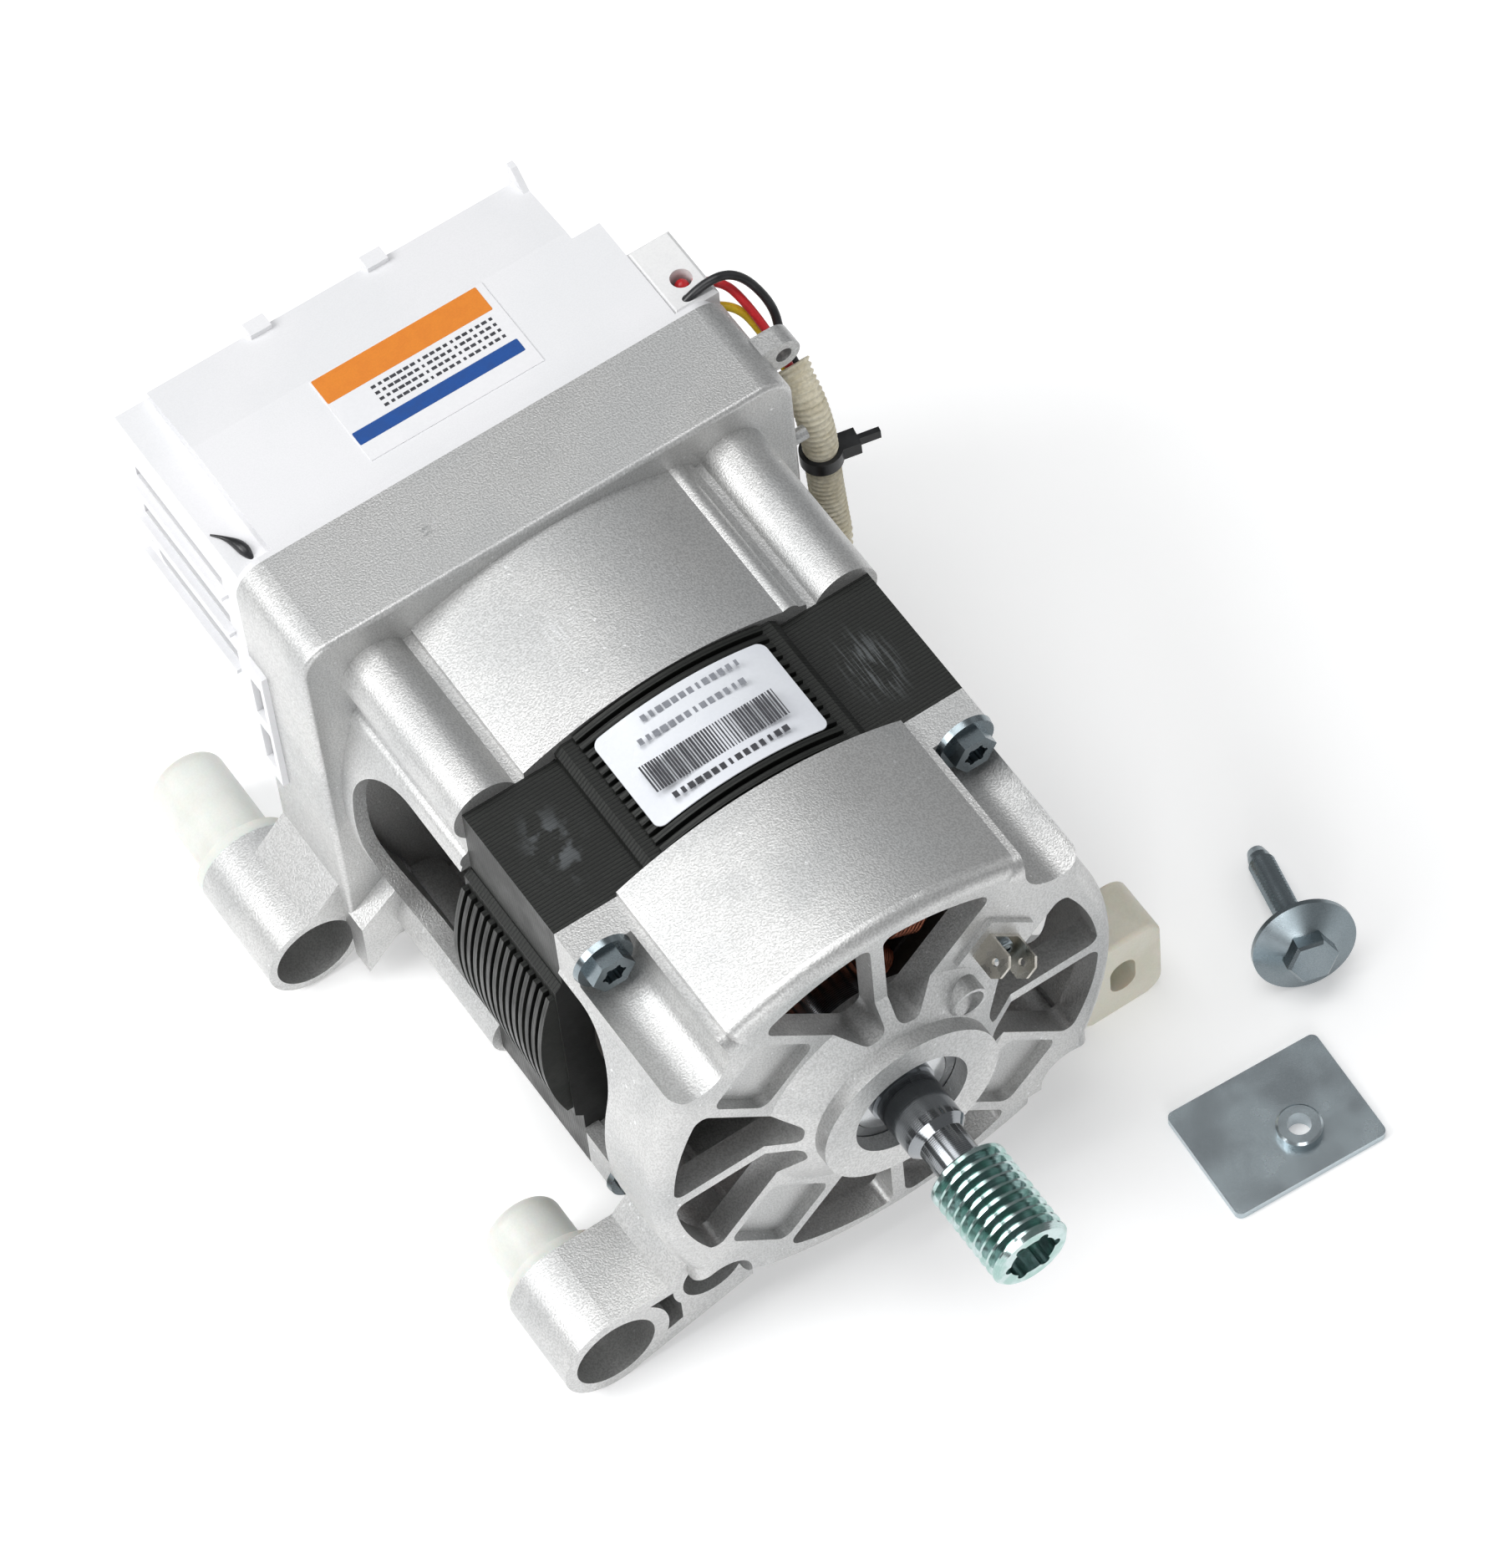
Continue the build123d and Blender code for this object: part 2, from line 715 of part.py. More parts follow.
with BuildPart() as rear_bracket:
    with BuildSketch(square_to_shaft(flange_rear_y)):
        RectangleRounded(2 * flange_half_width, 2 * flange_half_height, flange_corner_radius)
    extrude(amount=flange_depth)
    fillet(rear_bracket.faces().sort_by(Axis.Y)[0].edges(), flange_edge_radius)
    with BuildSketch(square_to_shaft(flange_rear_y)):
        RectangleRounded(
            2 * (flange_half_width - flange_wall),
            2 * (flange_half_height - flange_wall),
            flange_corner_radius - flange_wall,
        )
    extrude(amount=flange_depth - flange_floor, mode=Mode.SUBTRACT)
    with BuildSketch(square_to_shaft(flange_front_y + flange_edge_radius)):
        add(arched_square(0))
        with Locations(corners):
            Circle(column_radius)
    extrude(amount=rear_barrel_length + flange_edge_radius)
    with BuildSketch(square_to_shaft(flange_front_y)):
        add(arched_square(casting_wall))
        with Locations(corners):
            Circle(column_radius, mode=Mode.SUBTRACT)
    extrude(amount=rear_barrel_length, mode=Mode.SUBTRACT)
    # Side ribs along the barrel, one beside each arch
    with BuildSketch(square_to_shaft(flange_front_y + flange_edge_radius)):
        with four_sides():
            with Locations((side_rib_offset, arch_edge_height)):
                Circle(side_rib_radius)
    extrude(amount=rear_barrel_length + flange_edge_radius)
    # Left lug tube, its bore closed at the back, and the spigot for the plug
    with BuildSketch(square_to_shaft(rear_lug_rear_y)):
        with Locations((-lug_x, -lug_z)):
            Circle(rear_lug_radius)
    extrude(amount=rear_lug_length)
    with BuildSketch(square_to_shaft(flange_rear_y)):
        Polygon(
            (-lug_x, -lug_z + rear_lug_radius),
            (-flange_half_width + flange_wall, -lug_z + 2 * rear_lug_radius),
            (-flange_half_width + flange_wall, -lug_z - rear_lug_radius / 2),
            (-lug_x, -lug_z - rear_lug_radius),
            align=None,
        )
    extrude(amount=flange_rear_y - rear_lug_front_y)
    with BuildSketch(square_to_shaft(rear_lug_rear_y - lug_web)):
        with Locations((-lug_x, -lug_z)):
            Circle(lug_bore_radius)
    extrude(amount=rear_lug_length, mode=Mode.SUBTRACT)
    with BuildSketch(square_to_shaft(rear_lug_rear_y + rear_plug_length * spigot_share)):
        with Locations((-lug_x, -lug_z)):
            Circle(spigot_radius)
    extrude(amount=rear_plug_length * spigot_share + lug_web / 2)
    # Web that ties the lug to the barrel, in front of the box
    with BuildSketch(square_to_shaft(flange_front_y + flange_edge_radius)):
        Polygon(
            (-flange_half_width, -lug_z + rear_lug_radius),
            (-flat_half_width + casting_wall, -lug_z + 2 * rear_lug_radius),
            (-flat_half_width + casting_wall, -bolt_z),
            (-flange_half_width, -lug_z - rear_lug_radius / 2),
            align=None,
        )
    extrude(amount=gusset_length)
    # Seat of the rear bearing, a cup that stands on the floor of the box
    with BuildSketch(square_to_shaft(flange_floor_y)):
        Circle(rear_bearing_outer_radius + bearing_seat_wall)
    extrude(amount=flange_floor_y - seat_front_y)
    with BuildSketch(square_to_shaft(seat_floor_y)):
        Circle(rear_bearing_outer_radius)
    extrude(amount=rear_bearing_width + wave_washer_height + 2 * overrun, mode=Mode.SUBTRACT)
    # Windows on both sides of the barrel
    with BuildSketch(Plane.YZ.offset(flat_half_width - 2 * casting_wall)) as rear_window:
        with Locations((stator_rear_y, 0)):
            RectangleRounded(2 * rear_window_depth, 2 * rear_window_half_height, rear_window_radius)
        with Locations((stator_rear_y - rear_window_depth, 0)):
            Rectangle(2 * rear_window_depth, 2 * arch_apex, mode=Mode.SUBTRACT)
    extrude(amount=arch_apex, mode=Mode.SUBTRACT)
    with BuildSketch(Plane.YZ.offset(-flat_half_width + 2 * casting_wall)):
        add(rear_window.sketch_local)
    extrude(amount=-arch_apex, mode=Mode.SUBTRACT)
    # Threaded holes of the through bolts
    with BuildSketch(square_to_shaft(stator_rear_y + bolt_grip_in_rear + overrun)):
        with Locations(corners):
            Circle(bolt_radius)
    extrude(amount=bolt_grip_in_rear + overrun, mode=Mode.SUBTRACT)
    # Ring ear on the right side
    with BuildSketch(square_to_shaft(flange_front_y + ear_setback + ear_length)):
        with Locations((ear_x, ear_z)):
            Circle(ear_radius)
        Polygon(
            (flange_half_width - flange_wall, ear_z + ear_radius),
            (ear_x, ear_z + ear_radius),
            (ear_x, ear_z - ear_radius),
            (flange_half_width - flange_wall, ear_z - ear_radius),
            align=None,
        )
    extrude(amount=ear_length)
    with BuildSketch(square_to_shaft(flange_rear_y)):
        with Locations((ear_x, ear_z)):
            Circle(ear_hole_radius)
    extrude(amount=flange_depth, mode=Mode.SUBTRACT)
    # Peg on the right side, beside the sleeve
    with BuildSketch(Plane.YZ.offset(flange_half_width - flange_wall / 2)):
        with Locations((flange_front_y + peg_setback, peg_z)):
            Circle(peg_radius)
    extrude(amount=flange_wall / 2 + peg_length)
    # Bosses for the cover screws, in the lower corners of the box
    with BuildSketch(square_to_shaft(flange_rear_y)):
        with Locations(cover_screw_spots):
            Circle(cover_boss_radius)
        Rectangle(
            2 * flange_half_width - flange_wall,
            2 * flange_half_height - flange_wall,
            mode=Mode.INTERSECT,
        )
    extrude(amount=cover_boss_depth)
    with BuildSketch(square_to_shaft(flange_rear_y)):
        with Locations(cover_screw_spots):
            Circle(screw_radius)
    extrude(amount=cover_screw_length, mode=Mode.SUBTRACT)
    # Posts that carry the control board
    board_posts = [(sx * board_post_x, sz * board_post_z) for sx in (-1, 1) for sz in (-1, 1)]
    with BuildSketch(square_to_shaft(board_y)):
        with Locations(board_posts):
            Circle(board_post_radius)
    extrude(amount=board_y - flange_floor_y + flange_floor / 2)
    with BuildSketch(square_to_shaft(board_y)):
        with Locations(board_posts):
            Circle(screw_radius)
    extrude(amount=board_y_gap, mode=Mode.SUBTRACT)
finish(rear_bracket, "rear_bracket")


# Stator core: the laminated stack between the castings, with twelve slots and a finned rim
stator_middle_y = (stator_front_y + stator_rear_y) / 2
slot_angle = 360 / slot_count
half_slot = radians(slot_angle / 2)
fin_pitch = stator_length / fin_count


def slot_point(distance, inset=0):
    """Corner of a slot beside its tooth: distance along the tooth, inset away from its side."""
    side = tooth_width / 2 + inset
    across = distance * sin(half_slot) - side * cos(half_slot)
    outward = distance * cos(half_slot) + side * sin(half_slot)
    return (across, outward)


def slot_face(inset):
    """One slot, drawn up the local Y axis and drawn in by the inset on every side."""
    inner = bore_radius + tooth_tip + inset
    outer = slot_outer_radius - inset
    right_inner = slot_point(inner, inset)
    right_outer = slot_point(outer, inset)
    with BuildSketch(Plane.XY) as slot:
        with BuildLine():
            Polyline(
                (-right_outer[0], right_outer[1]),
                (-right_inner[0], right_inner[1]),
                right_inner,
                right_outer,
            )
            slot_top = (0, outer * cos(half_slot / 2))
            ThreePointArc(right_outer, slot_top, (-right_outer[0], right_outer[1]))
        make_face()
    return slot.sketch_local


with BuildPart() as stator_core:
    with BuildSketch(square_to_shaft(stator_rear_y)):
        Rectangle(2 * flat_half_width, 2 * flat_half_height)
        with four_sides():
            Polygon(
                (-plateau_half_width, 0),
                (-plateau_half_width, plateau_height - plateau_chamfer),
                (-plateau_half_width + plateau_chamfer, plateau_height),
                (plateau_half_width - plateau_chamfer, plateau_height),
                (plateau_half_width, plateau_height - plateau_chamfer),
                (plateau_half_width, 0),
                align=None,
            )
    extrude(amount=stator_length)
    # Fins: the laminations that reach further out, with gaps between them
    fin_arch = arch_face(fin_half_width, fin_edge_height, arch_apex)
    for fin in range(fin_count):
        fin_y = stator_rear_y - fin * fin_pitch - (fin_pitch - fin_thickness) / 2
        with BuildSketch(square_to_shaft(fin_y)):
            with four_sides():
                add(fin_arch)
        extrude(amount=fin_thickness)
    with BuildSketch(square_to_shaft(stator_rear_y)):
        Circle(bore_radius)
        with PolarLocations(0, slot_count, start_angle=slot_angle / 2):
            add(slot_face(0))
            with Locations((0, bore_radius + tooth_tip / 2)):
                Rectangle(slot_opening, 2 * tooth_tip)
        with Locations(corners):
            Circle(bolt_radius + bolt_hole_clearance)
    extrude(amount=stator_length, mode=Mode.SUBTRACT)
finish(stator_core, "stator_core")


# Insulators: one plastic frame from each end, with slot liners, tooth caps and a wall outside the coils
def insulator_profiles(face_y, outward):
    """Draws one insulator at a stator face; outward is the side it stands on, -1 or 1."""
    cap_y = face_y + outward * insulator_height
    wall_y = face_y + outward * insulator_flange_height
    liner_y = stator_middle_y + outward * part_clearance
    with BuildPart() as insulator:
        with BuildSketch(square_to_shaft(max(face_y, liner_y))):
            with PolarLocations(0, slot_count, start_angle=slot_angle / 2):
                add(slot_face(part_clearance))
        extrude(amount=abs(face_y - liner_y))
        with BuildSketch(square_to_shaft(max(face_y, cap_y))):
            Circle(slot_outer_radius + insulator_ring)
            Circle(bore_radius + insulator_wall, mode=Mode.SUBTRACT)
        extrude(amount=insulator_height)
        with BuildSketch(square_to_shaft(max(face_y, wall_y))):
            Circle(slot_outer_radius + insulator_ring)
            Circle(slot_outer_radius, mode=Mode.SUBTRACT)
        extrude(amount=insulator_flange_height)
        with BuildSketch(square_to_shaft(max(cap_y, liner_y))):
            with PolarLocations(0, slot_count, start_angle=slot_angle / 2):
                add(slot_face(insulator_wall))
                with Locations((0, bore_radius + tooth_tip / 2)):
                    Rectangle(slot_opening, 2 * tooth_tip + 2 * insulator_wall)
        extrude(amount=abs(cap_y - liner_y), mode=Mode.SUBTRACT)
    return insulator.part


with BuildPart() as front_insulator:
    add(insulator_profiles(stator_front_y, -1))
finish(front_insulator, "front_insulator")

with BuildPart() as rear_insulator:
    add(insulator_profiles(stator_rear_y, 1))
finish(rear_insulator, "rear_insulator")

# Coils: one closed bundle of winding round each tooth
coil_inner_half_width = tooth_width / 2 + insulator_wall
coil_inner_half_length = stator_length / 2 + insulator_height
coil_start_radius = bore_radius + tooth_tip + insulator_wall + coil_clearance
with BuildPart() as stator_coils:
    for tooth in range(slot_count):
        tooth_turn = radians(tooth * slot_angle)
        outward = Vector(sin(tooth_turn), 0, cos(tooth_turn))
        tooth_plane = Plane(
            origin=Vector(0, stator_middle_y, 0) + outward * coil_start_radius,
            x_dir=(0, 1, 0),
            z_dir=outward,
        )
        with BuildSketch(tooth_plane):
            RectangleRounded(
                2 * (coil_inner_half_length + coil_thickness),
                2 * (coil_inner_half_width + coil_thickness),
                coil_thickness,
            )
            Rectangle(2 * coil_inner_half_length, 2 * coil_inner_half_width, mode=Mode.SUBTRACT)
        extrude(amount=coil_radial_depth)
finish(stator_coils, "stator_coils")

# Bearings: races, balls, cage and shields, alike in shape and different in size


def ball_radius_of(bore, outer):
    """Radius of the balls between a bearing's bore and its outer surface."""
    return ball_share * (outer - bore)


def race_profile(near, far, width, middle_y, pitch, ball):
    """Half section of one race between two radii, with the groove that the balls run in."""
    with BuildSketch(Plane.XY) as race:
        with Locations(((near + far) / 2, middle_y)):
            Rectangle(far - near, width)
        with Locations((pitch, middle_y)):
            Circle(ball + race_gap, mode=Mode.SUBTRACT)
    return race.sketch_local


def cage_profile(pitch, ball, width, middle_y):
    """Half section of the cage ring between the races."""
    with BuildSketch(Plane.XY) as cage:
        with Locations((pitch, middle_y)):
            Rectangle(2 * cage_thickness_share * ball, cage_width_share * width)
    return cage.sketch_local


front_ball = ball_radius_of(front_bearing_bore_radius, front_bearing_outer_radius)
front_pitch = (front_bearing_bore_radius + front_bearing_outer_radius) / 2
front_shoulder = front_ball * race_shoulder_share
front_bearing_middle = front_bearing_y + front_bearing_width / 2
rear_ball = ball_radius_of(rear_bearing_bore_radius, rear_bearing_outer_radius)
rear_pitch = (rear_bearing_bore_radius + rear_bearing_outer_radius) / 2
rear_shoulder = rear_ball * race_shoulder_share
rear_bearing_middle = rear_bearing_y + rear_bearing_width / 2

with BuildPart() as front_bearing_outer_race:
    with BuildSketch(Plane.XY):
        add(
            race_profile(
                front_pitch + front_shoulder,
                front_bearing_outer_radius,
                front_bearing_width,
                front_bearing_middle,
                front_pitch,
                front_ball,
            )
        )
    revolve(axis=Axis.Y)
finish(front_bearing_outer_race, "front_bearing_outer_race")

with BuildPart() as front_bearing_inner_race:
    with BuildSketch(Plane.XY):
        add(
            race_profile(
                front_bearing_bore_radius,
                front_pitch - front_shoulder,
                front_bearing_width,
                front_bearing_middle,
                front_pitch,
                front_ball,
            )
        )
    revolve(axis=Axis.Y)
finish(front_bearing_inner_race, "front_bearing_inner_race")

with BuildPart() as rear_bearing_outer_race:
    with BuildSketch(Plane.XY):
        add(
            race_profile(
                rear_pitch + rear_shoulder,
                rear_bearing_outer_radius,
                rear_bearing_width,
                rear_bearing_middle,
                rear_pitch,
                rear_ball,
            )
        )
    revolve(axis=Axis.Y)
finish(rear_bearing_outer_race, "rear_bearing_outer_race")

with BuildPart() as rear_bearing_inner_race:
    with BuildSketch(Plane.XY):
        add(
            race_profile(
                rear_bearing_bore_radius,
                rear_pitch - rear_shoulder,
                rear_bearing_width,
                rear_bearing_middle,
                rear_pitch,
                rear_ball,
            )
        )
    revolve(axis=Axis.Y)
finish(rear_bearing_inner_race, "rear_bearing_inner_race")


with BuildPart(square_to_shaft(front_bearing_middle)) as front_bearing_balls:
    with PolarLocations(front_pitch, ball_count):
        Sphere(front_ball)
finish(front_bearing_balls, "front_bearing_balls")

with BuildPart(square_to_shaft(rear_bearing_middle)) as rear_bearing_balls:
    with PolarLocations(rear_pitch, ball_count):
        Sphere(rear_ball)
finish(rear_bearing_balls, "rear_bearing_balls")

with BuildPart(square_to_shaft(front_bearing_middle)) as front_bearing_cage:
    with BuildSketch(Plane.XY):
        add(cage_profile(front_pitch, front_ball, front_bearing_width, front_bearing_middle))
    revolve(axis=Axis.Y)
    with PolarLocations(front_pitch, ball_count):
        Cylinder(front_ball + cage_gap, front_ball, rotation=(0, 90, 0), mode=Mode.SUBTRACT)
finish(front_bearing_cage, "front_bearing_cage")

with BuildPart(square_to_shaft(rear_bearing_middle)) as rear_bearing_cage:
    with BuildSketch(Plane.XY):
        add(cage_profile(rear_pitch, rear_ball, rear_bearing_width, rear_bearing_middle))
    revolve(axis=Axis.Y)
    with PolarLocations(rear_pitch, ball_count):
        Cylinder(rear_ball + cage_gap, rear_ball, rotation=(0, 90, 0), mode=Mode.SUBTRACT)
finish(rear_bearing_cage, "rear_bearing_cage")


def shield_pair(pitch, shoulder, width, middle_y):
    """Two thin discs that close the gap between the races, clear of the inner one."""
    with BuildSketch(Plane.XY) as shields:
        with Locations((pitch, middle_y)):
            with GridLocations(0, width - 2 * shield_thickness, 1, 2):
                with Locations((shield_gap / 2, 0)):
                    Rectangle(2 * shoulder - shield_gap, shield_thickness)
    return shields.sketch_local


with BuildPart() as front_bearing_shields:
    with BuildSketch(Plane.XY):
        add(shield_pair(front_pitch, front_shoulder, front_bearing_width, front_bearing_middle))
    revolve(axis=Axis.Y)
finish(front_bearing_shields, "front_bearing_shields")

with BuildPart() as rear_bearing_shields:
    with BuildSketch(Plane.XY):
        add(shield_pair(rear_pitch, rear_shoulder, rear_bearing_width, rear_bearing_middle))
    revolve(axis=Axis.Y)
finish(rear_bearing_shields, "rear_bearing_shields")

# Spring washer that loads the rear bearing: a ring bent about one axis
with BuildPart() as preload_washer:
    with BuildSketch(Plane.XY):
        with BuildLine():
            washer_low = seat_floor_y - wave_washer_thickness
            washer_edge = rear_bearing_outer_radius
            washer_rise = wave_washer_height - wave_washer_thickness
            front_crest = (0, washer_low - washer_rise)
            rear_crest = (0, seat_floor_y - washer_rise)
            ThreePointArc((-washer_edge, washer_low), front_crest, (washer_edge, washer_low))
            Line((washer_edge, washer_low), (washer_edge, seat_floor_y))
            ThreePointArc((washer_edge, seat_floor_y), rear_crest, (-washer_edge, seat_floor_y))
            Line((-washer_edge, seat_floor_y), (-washer_edge, washer_low))
        make_face()
    extrude(amount=rear_bearing_outer_radius, both=True)
    with BuildSketch(square_to_shaft(seat_floor_y)):
        Circle(rear_bearing_outer_radius)
        Circle(rear_bearing_outer_radius - wave_washer_radial_width, mode=Mode.SUBTRACT)
    extrude(amount=wave_washer_height, mode=Mode.INTERSECT)
finish(preload_washer, "preload_washer")

# Rotor: shaft, laminated core, surface magnets, end plates and the belt pulley
rotor_front_y = stator_front_y - rotor_overhang
rotor_rear_y = stator_rear_y + rotor_overhang
shaft_end_y = seat_floor_y - shaft_end_gap
pulley_front_y = -pulley_length / 2
pulley_rear_y = pulley_length / 2

with BuildPart() as rotor_shaft:
    with BuildSketch(Plane.XY):
        Polygon(
            (0, pulley_front_y + pulley_socket_depth),
            (neck_radius, pulley_front_y + pulley_socket_depth),
            (neck_radius, shaft_collar_y - neck_cone_length),
            (collar_radius, shaft_collar_y),
            (collar_radius, front_bearing_y - overrun / 2),
            (front_bearing_bore_radius, front_bearing_y - overrun / 2),
            (front_bearing_bore_radius, front_bearing_rear_y),
            (core_shaft_radius, front_bearing_rear_y),
            (core_shaft_radius, rear_bearing_y),
            (rear_bearing_bore_radius, rear_bearing_y),
            (rear_bearing_bore_radius, shaft_end_y),
            (0, shaft_end_y),
            align=None,
        )
    revolve(axis=Axis.Y)
    chamfer(rotor_shaft.faces().sort_by(Axis.Y)[-1].edges(), shaft_end_gap)
finish(rotor_shaft, "rotor_shaft")

with BuildPart() as rotor_core:
    with BuildSketch(square_to_shaft(rotor_rear_y)):
        Circle(rotor_radius - magnet_thickness)
        Circle(core_shaft_radius, mode=Mode.SUBTRACT)
        with PolarLocations(rotor_hole_circle, rotor_hole_count):
            Circle(rotor_hole_radius, mode=Mode.SUBTRACT)
    extrude(amount=rotor_rear_y - rotor_front_y)
finish(rotor_core, "rotor_core")

magnet_sweep = 360 / magnet_count - magnet_gap_angle
magnet_arc = arc_segment(rotor_radius - magnet_thickness, rotor_radius, magnet_sweep)
with BuildPart() as rotor_magnets:
    with BuildSketch(square_to_shaft(rotor_rear_y)):
        with PolarLocations(0, magnet_count):
            add(magnet_arc)
    extrude(amount=rotor_rear_y - rotor_front_y)
finish(rotor_magnets, "rotor_magnets")

with BuildPart() as rotor_end_plates:
    with BuildSketch(square_to_shaft(rotor_front_y)) as end_plate:
        Circle(rotor_radius - end_plate_setback)
        Circle(core_shaft_radius, mode=Mode.SUBTRACT)
        with PolarLocations(rotor_hole_circle, rotor_hole_count):
            Circle(rotor_hole_radius, mode=Mode.SUBTRACT)
    extrude(amount=end_plate_thickness)
    with BuildSketch(square_to_shaft(rotor_rear_y + end_plate_thickness)):
        add(end_plate.sketch_local)
    extrude(amount=end_plate_thickness)
finish(rotor_end_plates, "rotor_end_plates")

with BuildPart() as belt_pulley:
    with BuildSketch(Plane.XY):
        with BuildLine():
            ridge = [(pulley_radius, pulley_front_y + pulley_end_chamfer)]
            for groove in range(groove_count):
                groove_y = (groove - (groove_count - 1) / 2) * groove_pitch
                flank = groove_pitch / 2 - groove_land / 2
                ridge += [
                    (pulley_radius, groove_y - flank),
                    (pulley_radius - groove_depth, groove_y - groove_root / 2),
                    (pulley_radius - groove_depth, groove_y + groove_root / 2),
                    (pulley_radius, groove_y + flank),
                ]
            Polyline(
                (neck_radius, pulley_rear_y),
                (neck_radius, pulley_front_y),
                (pulley_radius - pulley_end_chamfer, pulley_front_y),
                *ridge,
                (pulley_radius, pulley_rear_y - pulley_end_chamfer / 2),
                (pulley_radius - pulley_end_chamfer / 2, pulley_rear_y),
                (neck_radius, pulley_rear_y),
            )
        make_face()
    revolve(axis=Axis.Y)
    # Driver socket in the front end, round with lobes
    with BuildSketch(square_to_shaft(pulley_front_y + pulley_socket_depth)):
        Circle(pulley_socket_radius)
        with PolarLocations(pulley_socket_radius, pulley_socket_lobes):
            Circle(pulley_socket_lobe)
    extrude(amount=pulley_socket_depth, mode=Mode.SUBTRACT)
finish(belt_pulley, "belt_pulley")

# Through bolts, with a flange and a hexagon head that has a socket in it
with BuildPart() as through_bolts:
    with BuildSketch(square_to_shaft(stator_rear_y + bolt_grip_in_rear)):
        with Locations(corners):
            Circle(bolt_radius)
    extrude(amount=stator_rear_y + bolt_grip_in_rear - bolt_head_y)
    with BuildSketch(square_to_shaft(bolt_head_y)):
        with Locations(corners):
            Circle(bolt_flange_radius)
    extrude(amount=bolt_flange_thickness, taper=bolt_flange_taper)
    with BuildSketch(square_to_shaft(bolt_head_y)):
        with Locations(corners):
            RegularPolygon(bolt_head_radius, 6)
    extrude(amount=bolt_head_height)
    with BuildSketch(square_to_shaft(bolt_head_y - bolt_head_height + bolt_socket_depth)):
        with Locations(corners):
            Circle(bolt_socket_radius)
            with PolarLocations(bolt_socket_radius, 6):
                Circle(bolt_socket_lobe)
    extrude(amount=bolt_socket_depth, mode=Mode.SUBTRACT)
finish(through_bolts, "through_bolts")

# Earth terminal: a folded strip with two flat tabs, held on the spoke by its screw
terminal_plane = Plane(
    origin=(earth_x, front_face_y - earth_pad_height, earth_x), x_dir=(1, 0, -1), z_dir=(0, -1, 0)
)
with BuildPart() as earth_terminal:
    with BuildSketch(terminal_plane):
        Rectangle(tab_gap + tab_thickness, tab_width)
        Circle(earth_screw_radius, mode=Mode.SUBTRACT)
    extrude(amount=tab_thickness)
    with BuildSketch(terminal_plane):
        with GridLocations(tab_gap, 0, 2, 1):
            Rectangle(tab_thickness, tab_width)
    extrude(amount=tab_length)
    tips = earth_terminal.edges().filter_by(GeomType.LINE).group_by(Axis.Y)[0]
    tip_ends = tips.filter_by(lambda edge: edge.length < tab_width / 2)
    chamfer(tip_ends, tab_tip_chamfer)
    with Locations(terminal_plane.location * Location((0, 0, tab_length * tab_hole_share), (0, 90, 0))):
        Cylinder(tab_hole_radius, tab_gap * 2, mode=Mode.SUBTRACT)
finish(earth_terminal, "earth_terminal")

with BuildPart() as earth_screw:
    with BuildSketch(square_to_shaft(front_face_y + earth_screw_length)):
        with Locations((earth_x, earth_x)):
            Circle(earth_screw_radius)
    extrude(amount=earth_screw_length + earth_pad_height + tab_thickness)
    with BuildSketch(square_to_shaft(front_face_y - earth_pad_height - tab_thickness)):
        with Locations((earth_x, earth_x)):
            Circle(earth_screw_head_radius)
    extrude(amount=earth_screw_head_height)
    fillet(earth_screw.faces().sort_by(Axis.Y)[0].edges(), earth_screw_head_height / 2)
    with BuildSketch(square_to_shaft(front_face_y - earth_pad_height - tab_thickness)):
        with Locations((earth_x, earth_x)):
            Rectangle(earth_screw_slot, earth_screw_radius * 2)
            Rectangle(earth_screw_radius * 2, earth_screw_slot)
    extrude(amount=earth_screw_head_height, mode=Mode.SUBTRACT)
finish(earth_screw, "earth_screw")


def plug_solid(start_y, length):
    """A cup-shaped plug: collar against the lug, round nose, bore that fits the spigot."""
    with BuildPart() as plug:
        with BuildSketch(Plane.XY):
            with BuildLine():
                edge = FilletPolyline(
                    (plug_radius, start_y + plug_collar_thickness),
                    (plug_radius, start_y + length),
                    (0, start_y + length),
                    radius=plug_tip_radius,
                )
                Polyline(
                    edge @ 1,
                    (0, start_y + length * spigot_share),
                    (spigot_radius, start_y + length * spigot_share),
                    (spigot_radius, start_y),
                    (plug_collar_radius, start_y),
                    (plug_collar_radius, start_y + plug_collar_thickness),
                    edge @ 0,
                )
            make_face()
        revolve(axis=Axis.Y)
    return plug.part


with BuildPart() as front_lug_plug:
    with Locations((-lug_x, 0, -lug_z)):
        add(plug_solid(front_lug_front_y + front_lug_length, front_plug_length))
finish(front_lug_plug, "front_lug_plug")

with BuildPart() as rear_lug_plug:
    with Locations((-lug_x, 0, -lug_z)):
        add(plug_solid(rear_lug_rear_y, rear_plug_length))
finish(rear_lug_plug, "rear_lug_plug")

